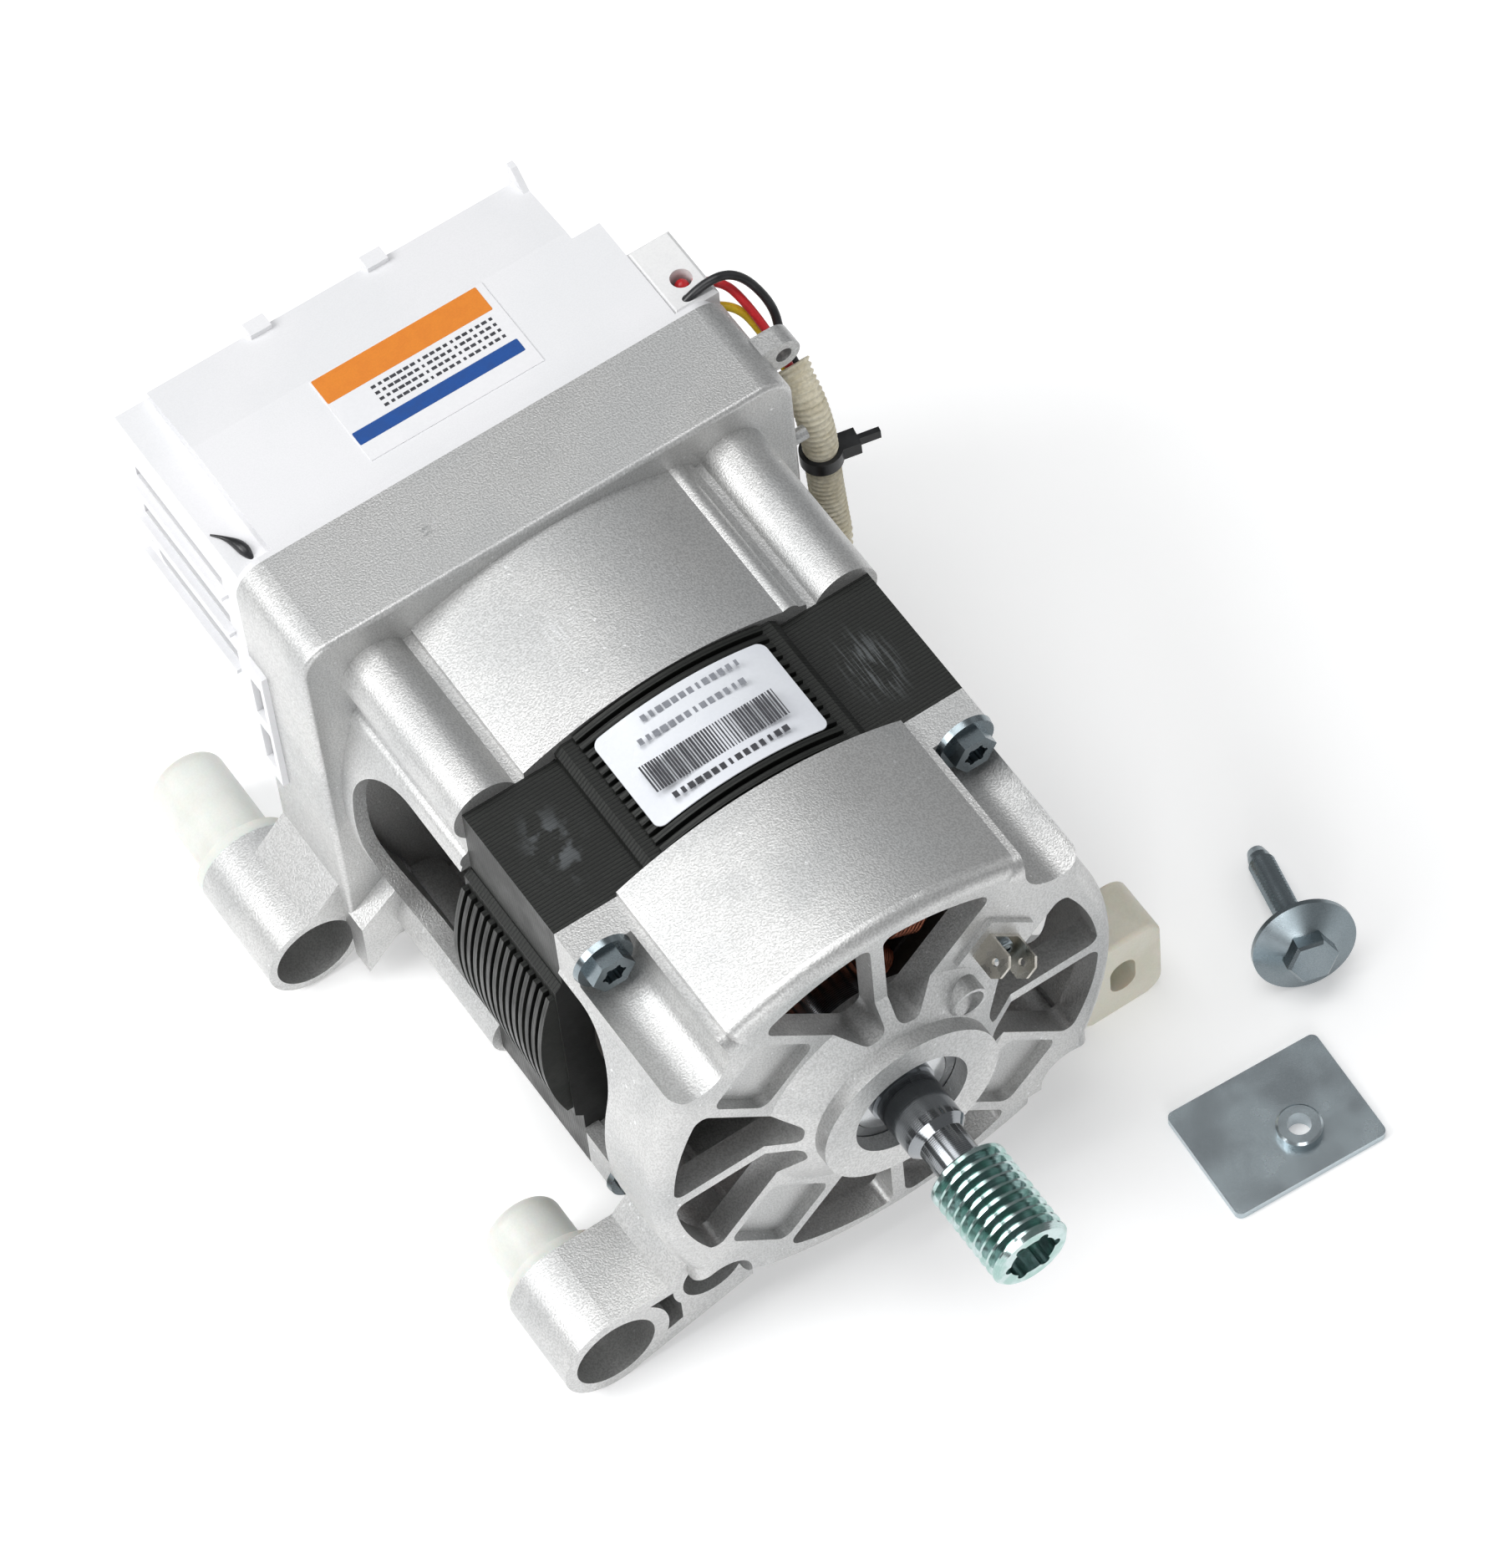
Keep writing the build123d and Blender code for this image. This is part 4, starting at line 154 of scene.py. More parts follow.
@dataclass(frozen=True)
class Mark:
    """A patch of changed colour at one place of a surface, used for rubbed and chalky patches and for
    painted highlights.

    Attributes:
        centre_mm: Middle of the patch.
        reach_mm: Its half sizes.
        colour: Its colour.
        share: How strongly it shows.
        streak_mm: Sizes of its streaks along the three axes.
    """

    centre_mm: Point
    reach_mm: Point
    colour: str
    share: float
    streak_mm: Point


@dataclass(frozen=True)
class Finish:
    """One real surface: how its colour, relief and gloss vary, at its real scale.

    Attributes:
        name: Common name of the material and how its surface was made.
        colour: Main colour.
        shade: Second colour, in slow patches.
        patch_mm: Size of the patches.
        patch_share: How strongly the second colour shows.
        grain_mm: Size of the fine grain.
        grain_depth_mm: Height of the grain's relief.
        grain_share: How strongly the grain darkens the surface.
        roughness: Middle roughness.
        spread: How far grain and patches move the roughness.
        metallic: 1 for bare metal, 0 otherwise.
        sparkle: Share of the grain that catches the light.
        shader: Further even values of the shader, by socket name.
        lines: Fine parallel lines, if it has any.
        marks: Rubbed patches.
    """

    name: str
    colour: str
    shade: str
    patch_mm: float
    patch_share: float
    grain_mm: float
    grain_depth_mm: float
    grain_share: float
    roughness: float
    spread: float
    metallic: float = 0.0
    sparkle: float = 0.0
    shader: tuple[tuple[str, float], ...] = ()
    lines: Lines | None = None
    marks: tuple[Mark, ...] = ()

    def material(self) -> bpy.types.Material:
        """Returns the finish's material, which is built the first time it is asked for."""
        return bpy.data.materials.get(self.name) or self.build()

    def build(self) -> bpy.types.Material:
        """Builds the node tree of the finish.

        Returns:
            The new material.
        """
        made = bpy.data.materials.new(self.name)
        made.use_nodes = True
        tree = made.node_tree
        tree.nodes.clear()
        at = add_node(tree, "ShaderNodeTexCoord").outputs["Object"]
        patches = self.noise(tree, at, self.patch_mm, PATCH_DETAIL)
        grain = self.noise(tree, at, self.grain_mm, GRAIN_DETAIL)
        patch_mask = self.ramp(tree, patches, PATCH_EDGE, 0.0, self.patch_share)
        colour = self.blend(tree, patch_mask, srgb(self.colour), srgb(self.shade))
        dark = self.ramp(tree, grain, GRAIN_EDGE, 0.0, self.grain_share)
        colour = self.blend(tree, dark, colour, srgb("000000"))
        smoothest, roughest = self.roughness - self.spread, self.roughness + self.spread
        rough = self.ramp(tree, patches, GLOSS_EDGE, smoothest, roughest)
        height = self.ramp(tree, grain, WHOLE, 0.0, self.grain_depth_mm * MM)
        if self.sparkle > 0:
            colour, rough = self.add_sparkle(tree, at, colour, rough)
        if self.lines:
            colour, height = self.add_lines(tree, at, colour, height)
        for mark in self.marks:
            colour = self.add_mark(tree, at, colour, mark)
        bump = add_node(tree, "ShaderNodeBump", None, {"Distance": 1.0, "Height": height})
        values = {"Base Color": colour, "Roughness": rough, "Metallic": self.metallic}
        values |= {"Normal": bump.outputs[0], **dict(self.shader)}
        shader = add_node(tree, "ShaderNodeBsdfPrincipled", None, values)
        add_node(tree, "ShaderNodeOutputMaterial", None, {"Surface": shader.outputs[0]})
        return made

    @staticmethod
    def noise(
        tree: bpy.types.NodeTree, at: bpy.types.NodeSocket, size_mm: float, detail: float
    ) -> bpy.types.NodeSocket:
        """Returns a noise between 0 and 1 whose features have the size given in millimetres."""
        inputs = {"Vector": at, "Scale": 1 / (size_mm * MM), "Detail": detail}
        return add_node(tree, "ShaderNodeTexNoise", None, inputs).outputs[0]

    @staticmethod
    def ramp(
        tree: bpy.types.NodeTree,
        value: bpy.types.NodeSocket,
        edge: tuple[float, float],
        start: float,
        end: float,
    ) -> bpy.types.NodeSocket:
        """Returns a value that goes smoothly from start to end as the one given crosses the edge."""
        inputs = {0: value, 1: edge[0], 2: edge[1], 3: start, 4: end}
        smooth = {"interpolation_type": "SMOOTHSTEP"}
        return add_node(tree, "ShaderNodeMapRange", smooth, inputs).outputs[0]

    @staticmethod
    def blend(
        tree: bpy.types.NodeTree,
        share: bpy.types.NodeSocket,
        first: bpy.types.NodeSocket | tuple,
        second: bpy.types.NodeSocket | tuple,
    ) -> bpy.types.NodeSocket:
        """Returns the mix of two colours, with the share of the second one given."""
        inputs = {0: share, 6: first, 7: second}
        return add_node(tree, "ShaderNodeMix", {"data_type": "RGBA"}, inputs).outputs[2]

    @staticmethod
    def maths(
        tree: bpy.types.NodeTree,
        work: str,
        first: bpy.types.NodeSocket | float,
        second: bpy.types.NodeSocket | float,
    ) -> bpy.types.NodeSocket:
        """Returns the result of one sum or product of two values."""
        return add_node(tree, "ShaderNodeMath", {"operation": work}, {0: first, 1: second}).outputs[0]

    def add_sparkle(
        self,
        tree: bpy.types.NodeTree,
        at: bpy.types.NodeSocket,
        colour: bpy.types.NodeSocket,
        rough: bpy.types.NodeSocket,
    ) -> tuple[bpy.types.NodeSocket, bpy.types.NodeSocket]:
        """Adds single bright grains to colour and roughness.

        Args:
            tree: The material's tree.
            at: Place on the surface.
            colour: Colour so far.
            rough: Roughness so far.

        Returns:
            The new colour and the new roughness.
        """
        inputs = {"Vector": at, "Scale": 1 / (self.grain_mm * MM * SPARKLE_CELL)}
        cells = add_node(tree, "ShaderNodeTexVoronoi", None, inputs).outputs["Color"]
        bright = self.ramp(tree, cells, (1 - self.sparkle, 1.0), 0.0, SPARKLE_SHARE)
        colour = self.blend(tree, bright, colour, srgb("F4F5F6"))
        gloss = self.maths(tree, "MULTIPLY", bright, SPARKLE_GLOSS)
        return colour, self.maths(tree, "SUBTRACT", rough, gloss)

    def add_lines(
        self,
        tree: bpy.types.NodeTree,
        at: bpy.types.NodeSocket,
        colour: bpy.types.NodeSocket,
        height: bpy.types.NodeSocket,
    ) -> tuple[bpy.types.NodeSocket, bpy.types.NodeSocket]:
        """Adds the fine parallel lines to colour and relief.

        Args:
            tree: The material's tree.
            at: Place on the surface.
            colour: Colour so far.
            height: Relief so far, in metres.

        Returns:
            The new colour and the new relief.
        """
        bands = {"bands_direction": self.lines.along.value, "wave_profile": "SIN"}
        waves_per_metre = math.pi / (10 * self.lines.pitch_mm * MM)
        inputs = {"Vector": at, "Scale": waves_per_metre, "Distortion": self.lines.waver}
        wave = add_node(tree, "ShaderNodeTexWave", bands, inputs).outputs[1]
        groove = self.ramp(tree, wave, GROOVE_EDGE, 0.0, 1.0)
        share = self.maths(tree, "MULTIPLY", groove, self.lines.share)
        colour = self.blend(tree, share, colour, srgb(self.lines.colour))
        relief = self.maths(tree, "MULTIPLY", groove, -self.lines.depth_mm * MM)
        return colour, self.maths(tree, "ADD", height, relief)

    def add_mark(
        self, tree: bpy.types.NodeTree, at: bpy.types.NodeSocket, colour: bpy.types.NodeSocket, mark: Mark
    ) -> bpy.types.NodeSocket:
        """Adds one patch of changed colour to the colour, such as a rubbed patch, a chalky patch or a
        painted highlight.

        Args:
            tree: The material's tree.
            at: Place on the surface.
            colour: Colour so far.
            mark: The patch.

        Returns:
            The new colour.
        """
        reach = [r * MM for r in mark.reach_mm]
        place = [-c * MM / r for c, r in zip(mark.centre_mm, reach)]
        inputs = {"Vector": at, "Location": place, "Scale": [1 / r for r in reach]}
        local = add_node(tree, "ShaderNodeMapping", None, inputs).outputs[0]
        length = add_node(tree, "ShaderNodeVectorMath", {"operation": "LENGTH"}, {0: local})
        inside = self.ramp(tree, length.outputs["Value"], MARK_EDGE, 0.0, 1.0)
        inputs = {"Vector": at, "Scale": [1 / (s * MM) for s in mark.streak_mm]}
        streaks = add_node(tree, "ShaderNodeMapping", None, inputs).outputs[0]
        inputs = {"Vector": streaks, "Scale": 1.0, "Detail": STREAK_DETAIL}
        broken = add_node(tree, "ShaderNodeTexNoise", None, inputs).outputs[0]
        strength = self.ramp(tree, broken, STREAK_EDGE, 0.0, mark.share)
        share = self.maths(tree, "MULTIPLY", inside, strength)
        return self.blend(tree, share, colour, srgb(mark.colour))


# Shot-blasted die-cast aluminium: matt silver-grey with a fine sandy grain, of which single grains catch
# the light.
CAST_ALUMINIUM = Finish(
    "shot_blasted_cast_aluminium", "D2D2D1", "C3C4C4", 26.0, 0.7, 0.42, 0.05, 0.22, 0.45, 0.06,
    metallic=0.82, sparkle=0.1,
    # The two pale marks are painted highlights on the tops of the rear and the front bracket; the small dark
    # one darkens a spot on top of the rear bracket.
    marks=(
        Mark((-12.0, 135.0, 54.0), (9.0, 6.0, 4.0), "D9DADB", 0.5, (0.5, 7.0, 2.0)),
        Mark((-22.0, 168.0, 58.8), (3.0, 4.0, 2.0), "8F9192", 0.6, (2.0, 0.8, 1.0)),
        Mark((-24.0, 58.0, 50.0), (8.0, 12.0, 6.0), "D4D5D6", 0.4, (1.0, 2.2, 2.0)),
    ),
)
# Varnished sheet stack: black with a satin sheen, and the edges of the 0.5 mm sheets as fine lines, drawn
# at 0.9 mm so that they show. Chalk and handling have left pale scuffs on its corners.
VARNISHED_STACK = Finish(
    "varnished_lamination_stack", "272926", "1E201D", 9.0, 0.8, 0.6, 0.02, 0.2, 0.42, 0.08,
    metallic=0.25,
    lines=Lines(0.9, Along.SHAFT, "0E0F10", 0.75, 0.06, 0.3),
    marks=(
        Mark((37.0, 96.0, 46.7), (8.0, 13.0, 3.0), "6B6F71", 0.55, (0.5, 8.0, 2.0)),
        Mark((-37.5, 98.0, 46.7), (8.0, 12.0, 3.0), "666A6D", 0.6, (3.6, 5.0, 2.0)),
        # This mark greys the middle of the stack's left side.
        Mark((-48.8, 98.0, -5.0), (3.0, 12.0, 30.0), "4B4E52", 0.35, (2.0, 6.0, 7.0)),
    ),
)
# Varnished rotor sheets: the same edges, turned smooth, so they are greyer and shinier.
ROTOR_STACK = Finish(
    "turned_rotor_lamination", "6E7073", "55575A", 7.0, 0.6, 0.5, 0.01, 0.15, 0.36, 0.06,
    metallic=0.8, lines=Lines(0.9, Along.SHAFT, "3A3B3D", 0.6, 0.03),
)
# Glass-filled polyamide: dull brown-black with a faint flow pattern.
INSULATOR_PLASTIC = Finish(
    "glass_filled_polyamide", "35312C", "282521", 8.0, 0.6, 0.3, 0.01, 0.15, 0.55, 0.06
)
# Enamelled copper wire: pinkish copper under a clear, slightly glossy varnish.
ENAMELLED_COPPER = Finish(
    "enamelled_copper_wire", "B4694A", "8E4A30", 5.0, 0.7, 0.5, 0.01, 0.2, 0.32, 0.06,
    metallic=0.85, shader=(("Coat Weight", 0.5), ("Coat Roughness", 0.2)),
)
# Ground bearing steel: near-mirror grey with very fine rings.
BEARING_STEEL = Finish(
    "ground_bearing_steel", "C9CBCD", "B2B5B8", 6.0, 0.5, 0.3, 0.002, 0.05, 0.16, 0.04,
    metallic=1.0, lines=Lines(0.35, Along.SHAFT, "9A9DA0", 0.2, 0.002),
)
# Pressed sheet steel: dull and slightly streaky.
PRESSED_STEEL = Finish(
    "pressed_sheet_steel", "A2A4A6", "86888B", 5.0, 0.6, 0.3, 0.006, 0.12, 0.34, 0.08, metallic=1.0
)
# Tempered spring steel: dark grey with a straw tinge.
SPRING_STEEL = Finish(
    "tempered_spring_steel", "7C7870", "6A6A70", 3.0, 0.7, 0.25, 0.003, 0.1, 0.3, 0.06, metallic=1.0
)
# Ground shaft steel: bright mirror with turning marks round the shaft, its colour kept dark as a painted
# dark reflection.
GROUND_SHAFT = Finish(
    "ground_shaft_steel", "94979A", "7F8387", 9.0, 0.5, 0.3, 0.002, 0.05, 0.12, 0.05,
    metallic=1.0, lines=Lines(0.45, Along.SHAFT, "8C9094", 0.25, 0.003),
)
# Zinc plate, blue-white passivated: bright, cool grey with faint green and yellow tints in slow patches.
ZINC_PLATE = Finish(
    "blue_passivated_zinc_plate", "BEC8CD", "B4C3C8", 12.0, 0.3, 0.35, 0.004, 0.08, 0.24, 0.05,
    metallic=1.0, sparkle=0.015,
)
# The same plating on screws and bolts, a little duller, and darker as a painted dark reflection.
ZINC_SCREW = Finish(
    "blue_passivated_zinc_screw", "8C969B", "7C888D", 9.0, 0.4, 0.3, 0.004, 0.12, 0.26, 0.05,
    metallic=1.0, sparkle=0.01,
)
# The same plating on the rolled belt grooves: glossier and greener.
PULLEY_PLATE = Finish(
    "passivated_groove_plate", "BFD0CF", "8FB5AC", 3.5, 0.7, 0.3, 0.003, 0.08, 0.15, 0.05,
    metallic=1.0, lines=Lines(0.3, Along.SHAFT, "8FA3A2", 0.25, 0.003),
)
# Tinned brass: warm satin silver.
TINNED_BRASS = Finish(
    "tinned_brass_strip", "C9C6BE", "ADA89C", 3.0, 0.6, 0.3, 0.004, 0.12, 0.3, 0.07, metallic=1.0
)
# Natural nylon, moulded: milky white that lets some light in, with a satin skin.
WHITE_NYLON = Finish(
    "moulded_natural_nylon", "D6D8D3", "CDCFC8", 12.0, 0.6, 0.5, 0.008, 0.03, 0.4, 0.06,
    shader=(("Subsurface Weight", 0.35), ("Subsurface Scale", 0.004)),
)
# Ivory nylon: the same with a yellower tone.
IVORY_NYLON = Finish(
    "moulded_ivory_nylon", "DAD7C8", "CFCBB9", 10.0, 0.6, 0.5, 0.008, 0.04, 0.42, 0.06,
    shader=(("Subsurface Weight", 0.3), ("Subsurface Scale", 0.003)),
)
# Polyester label film: bluish white, even, with a low gloss and a faint orange-peel.
LABEL_FILM = Finish(
    "polyester_label_film", "DDE0E5", "D6D9E0", 14.0, 0.5, 0.8, 0.003, 0.02, 0.3, 0.04,
    shader=(("Coat Weight", 0.3), ("Coat Roughness", 0.15)),
)
# Flame-retardant ABS, moulded: clean white with a spark-eroded satin skin and slightly greyer patches.
WHITE_COVER = Finish(
    "moulded_white_abs", "E3E3E5", "DDDEE0", 30.0, 0.6, 0.35, 0.012, 0.03, 0.42, 0.06
)
# Vinyl sticker film: white and glossier than the plastic under it.
STICKER_FILM = Finish(
    "vinyl_sticker_film", "E6E6E8", "DFE0E3", 16.0, 0.5, 0.9, 0.003, 0.02, 0.28, 0.04,
    shader=(("Coat Weight", 0.3), ("Coat Roughness", 0.12)),
)
# Printing inks: flat colour with the screen's faint unevenness.
ORANGE_INK = Finish("screen_printed_orange_ink", "DD842E", "D67B25", 3.0, 0.5, 0.4, 0.001, 0.05, 0.34, 0.04)
BLUE_INK = Finish("screen_printed_blue_ink", "1F4E95", "1A4687", 3.0, 0.5, 0.4, 0.001, 0.06, 0.34, 0.04)
BLACK_INK = Finish("thermal_printed_black_ink", "34353A", "45464C", 1.6, 0.6, 0.3, 0.001, 0.1, 0.45, 0.04)
GREY_INK = Finish("thermal_printed_grey_ink", "7D8087", "8D9097", 1.6, 0.6, 0.3, 0.001, 0.1, 0.45, 0.04)
# Solder resist on a fibreglass board: glossy green over the weave, drawn at 1.2 mm.
SOLDER_RESIST = Finish(
    "green_solder_resist", "1F6A43", "175436", 6.0, 0.7, 1.2, 0.02, 0.2, 0.25, 0.06,
    lines=Lines(1.2, Along.WIDTH, "2B8154", 0.4, 0.01, 0.6),
)
# Moulded epoxy: matt black with a fine powdery grain.
BLACK_EPOXY = Finish("moulded_black_epoxy", "232325", "2E2E31", 4.0, 0.6, 0.3, 0.01, 0.2, 0.6, 0.06)
# Shrunk PVC sleeve: glossy, nearly black blue.
CAPACITOR_SLEEVE = Finish("shrunk_pvc_sleeve", "232B3F", "1B2234", 6.0, 0.6, 0.6, 0.01, 0.1, 0.28, 0.06)
# Coated ferrite ring and its winding: glossy green lacquer.
CHOKE_COAT = Finish("lacquered_ferrite_ring", "3A7A57", "2C6447", 4.0, 0.6, 0.5, 0.02, 0.15, 0.3, 0.06)
# Relay case: moulded blue PBT, satin.
RELAY_CASE = Finish("moulded_blue_pbt", "27559B", "1F4786", 7.0, 0.6, 0.4, 0.008, 0.1, 0.38, 0.05)
# Socket housing: moulded ivory PBT.
HEADER_PLASTIC = Finish("moulded_ivory_pbt", "DDDACB", "CFCBB9", 6.0, 0.6, 0.4, 0.01, 0.06, 0.45, 0.05)
# White nylon of the connector block: a little greyer than the cover, with a satin skin.
BLOCK_PLASTIC = Finish("moulded_white_nylon", "E4E4E4", "DBDBDC", 9.0, 0.6, 0.4, 0.012, 0.04, 0.42, 0.05)
# PVC wire insulation: even colour, satin, with slight handling marks.
RED_PVC = Finish("red_pvc_insulation", "C8242B", "A91C22", 4.0, 0.6, 0.5, 0.012, 0.1, 0.34, 0.06)
YELLOW_PVC = Finish("yellow_pvc_insulation", "E8C62A", "D6B01F", 4.0, 0.6, 0.5, 0.012, 0.08, 0.34, 0.06)
BLACK_PVC = Finish("black_pvc_insulation", "1E1E20", "2B2B2E", 4.0, 0.6, 0.5, 0.012, 0.1, 0.34, 0.06)
# Ribbed glass-fibre sleeve, beige: dull, with a fine uneven thread, drawn at 0.8 mm.
RIBBED_SLEEVE = Finish(
    "beige_ribbed_sleeve", "EBE4CE", "DCD3B9", 3.5, 0.7, 0.8, 0.05, 0.16, 0.62, 0.06
)
# Black nylon of the cable tie: satin, slightly bluish where it turns to the light.
BLACK_NYLON = Finish("moulded_black_nylon", "1B1C1E", "2A2B2E", 3.0, 0.6, 0.4, 0.01, 0.1, 0.36, 0.06)
# Sintered and epoxy-coated magnet: dark, matt grey.
SINTERED_MAGNET = Finish(
    "epoxy_coated_magnet", "4A4B4E", "3C3D40", 4.0, 0.6, 0.4, 0.02, 0.2, 0.45, 0.06, metallic=0.4
)
# Turned aluminium end plates: bright, with turning rings.
TURNED_ALUMINIUM = Finish(
    "turned_aluminium_plate", "BFC1C3", "A7AAAD", 6.0, 0.5, 0.3, 0.004, 0.08, 0.3, 0.06, metallic=1.0
)
# Cage plastic: natural polyamide with glass fibre, tan.
CAGE_PLASTIC = Finish(
    "glass_filled_cage_polyamide", "B79A6A", "A08556", 3.0, 0.6, 0.3, 0.01, 0.1, 0.5, 0.05
)
# Pale paper sweep: nearly white, even, without gloss.
PAPER_SWEEP = Finish(
    "pale_paper_sweep", "F8F8F8", "F6F6F7", 400.0, 0.5, 1.2, 0.01, 0.005, 0.9, 0.02,
    shader=(("Emission Strength", 0.25),),
)


def mesh_object(name: str, mesh: bpy.types.Mesh, finish: Finish) -> bpy.types.Object:
    """Links a mesh as an object at the origin, with its finish.

    Args:
        name: Name of the object.
        mesh: Its mesh, already in place.
        finish: Its finish.

    Returns:
        The new object.
    """
    made = bpy.data.objects.new(name, mesh)
    bpy.context.scene.collection.objects.link(made)
    if finish.name not in mesh.materials:
        mesh.materials.clear()
        mesh.materials.append(finish.material())
    return made


def spline_curve(name: str, route_mm: list[Point], radius_mm: float, finish: Finish) -> bpy.types.Object:
    """Builds a cord as one smooth spline with the route's points as its control points.

    Args:
        name: Name of the object.
        route_mm: The route's points.
        radius_mm: Radius of the cord, or 0 for the bare line.
        finish: Its finish.

    Returns:
        The curve object.
    """
    curve = bpy.data.curves.new(name, "CURVE")
    curve.dimensions = "3D"
    curve.resolution_u = 10
    curve.bevel_depth = radius_mm * MM
    curve.bevel_resolution = 5
    curve.use_fill_caps = True
    spline = curve.splines.new("NURBS")
    spline.points.add(len(route_mm) - 1)
    for control, point in zip(spline.points, route_mm):
        control.co = (*(Vector(point) * MM), 1.0)
    spline.order_u = 3
    spline.use_endpoint_u = True
    spline.use_smooth = True
    curve.materials.append(finish.material())
    made = bpy.data.objects.new(name, curve)
    bpy.context.scene.collection.objects.link(made)
    return made


def bead(name: str, line_mm: tuple[Swell, ...], finish: Finish) -> bpy.types.Object:
    """Shapes a small round piece that swells and tapers along a line.

    Args:
        name: Name of the piece.
        line_mm: Points of the line, each followed by the radius there.
        finish: Its finish.

    Returns:
        The piece as a closed mesh.
    """
    core = spline_curve(name, [point[:3] for point in line_mm], 1.0, finish)
    for control, point in zip(core.data.splines[0].points, line_mm):
        control.radius = point[3]
    mesh = bpy.data.meshes.new_from_object(core)
    bpy.data.objects.remove(core)
    mesh.name = name
    return mesh_object(name, mesh, finish)


def spline_points(route_mm: list[Point]) -> list[Vector]:
    """Reads the points that Blender finds along a route's spline.

    Args:
        route_mm: The route's control points.

    Returns:
        Points along the spline, in metres.
    """
    line = spline_curve("route", route_mm, 0.0, BLACK_PVC)
    mesh = bpy.data.meshes.new_from_object(line)
    points = [vertex.co.copy() for vertex in mesh.vertices]
    curve = line.data
    bpy.data.objects.remove(line)
    bpy.data.curves.remove(curve)
    bpy.data.meshes.remove(mesh)
    return points


def line_length(points: list[Vector]) -> float:
    """Returns the length of a line of points."""
    return sum((after - before).length for before, after in zip(points, points[1:]))


class NodeRule:
    """A Geometry Nodes tree with named sizes, turned into a plain mesh at the end."""

    def __init__(self, name: str) -> None:
        """Starts an empty tree.

        Args:
            name: What the tree makes.
        """
        self.name = name
        self.tree = bpy.data.node_groups.new(name, "GeometryNodeTree")
        self.tree.interface.new_socket("Geometry", in_out="INPUT", socket_type="NodeSocketGeometry")
        self.tree.interface.new_socket("Geometry", in_out="OUTPUT", socket_type="NodeSocketGeometry")
        self.sizes: dict[str, tuple[str, float | int]] = {}
        self.entry = None

    def size(self, name: str, value: float | int) -> None:
        """Adds a named input to the tree.

        Args:
            name: Name of the input.
            value: Its value; a whole number makes a whole-number input.
        """
        kind = "NodeSocketInt" if isinstance(value, int) else "NodeSocketFloat"
        item = self.tree.interface.new_socket(name, in_out="INPUT", socket_type=kind)
        self.sizes[name] = (item.identifier, value)

    def inlet(self, name: str) -> bpy.types.NodeSocket:
        """Returns the socket of a named input, or of the incoming geometry."""
        if self.entry is None:
            self.entry = self.tree.nodes.new("NodeGroupInput")
        return self.entry.outputs[name]

    def add(self, kind: str, settings: dict | None = None, inputs: dict | None = None) -> bpy.types.Node:
        """Adds a node to the tree and returns it."""
        return add_node(self.tree, kind, settings, inputs)

    def maths(
        self, work: str, first: bpy.types.NodeSocket, second: bpy.types.NodeSocket | float
    ) -> bpy.types.NodeSocket:
        """Returns the result of one sum on two values."""
        return self.add("ShaderNodeMath", {"operation": work}, {0: first, 1: second}).outputs[0]

    def close(self, geometry: bpy.types.NodeSocket, finish: Finish) -> None:
        """Ends the tree in real geometry with its finish.

        Args:
            geometry: What the tree has made.
            finish: The finish of the piece.
        """
        real = self.add("GeometryNodeRealizeInstances", None, {"Geometry": geometry}).outputs[0]
        material = {"Geometry": real, "Material": finish.material()}
        dressed = self.add("GeometryNodeSetMaterial", None, material).outputs[0]
        self.add("NodeGroupOutput", None, {"Geometry": dressed})

    def run(self, start: bpy.types.Mesh, finish: Finish, shell_mm: float = 0.0) -> bpy.types.Object:
        """Runs the tree on a mesh and keeps the result as a plain mesh object.

        Args:
            start: The mesh that the tree starts from.
            finish: The finish of the piece.
            shell_mm: Thickness of the wall that an open surface gets, or 0.

        Returns:
            The finished object, named after the tree.
        """
        host = bpy.data.objects.new(self.name + "_host", start)
        bpy.context.scene.collection.objects.link(host)
        modifier = host.modifiers.new("rule", "NODES")
        modifier.node_group = self.tree
        for identifier, value in self.sizes.values():
            modifier[identifier] = value
        if shell_mm > 0:
            shell = host.modifiers.new("wall", "SOLIDIFY")
            shell.thickness = shell_mm * MM
            shell.offset = -1.0
        evaluated = host.evaluated_get(bpy.context.evaluated_depsgraph_get())
        mesh = bpy.data.meshes.new_from_object(evaluated)
        mesh.name = self.name
        host.modifiers.clear()
        bpy.data.objects.remove(host)
        return mesh_object(self.name, mesh, finish)


def film(name: str, area_mm: Area, z_mm: float, finish: Finish) -> bpy.types.Object:
    """Builds a printed area as a thin plate with rounded corners.

    Args:
        name: Name of the object.
        area_mm: Its left, front, right and rear edge.
        z_mm: Height of its underside.
        finish: The ink.

    Returns:
        The new object.
    """
    left, front, right, rear = area_mm
    reach = min(FILM_CORNER_MM, (right - left) / FILM_CORNER_LIMIT, (rear - front) / FILM_CORNER_LIMIT)
    middles = [(right - reach, rear - reach), (left + reach, rear - reach)]
    middles += [(left + reach, front + reach), (right - reach, front + reach)]
    ring = []
    for quarter, (x, y) in enumerate(middles):
        for step in range(FILM_STEPS + 1):
            turn = (quarter + step / FILM_STEPS) * math.pi / 2
            ring.append((x + reach * math.cos(turn), y + reach * math.sin(turn)))
    shape = bmesh.new()
    top = [shape.verts.new(Vector((x, y, z_mm + FILM_MM)) * MM) for x, y in ring]
    base = [shape.verts.new(Vector((x, y, z_mm)) * MM) for x, y in ring]
    shape.faces.new(top)
    shape.faces.new(list(reversed(base)))
    for here in range(len(ring)):
        after = (here + 1) % len(ring)
        shape.faces.new((base[here], base[after], top[after], top[here]))
    mesh = bpy.data.meshes.new(name)
    shape.to_mesh(mesh)
    shape.free()
    return mesh_object(name, mesh, finish)


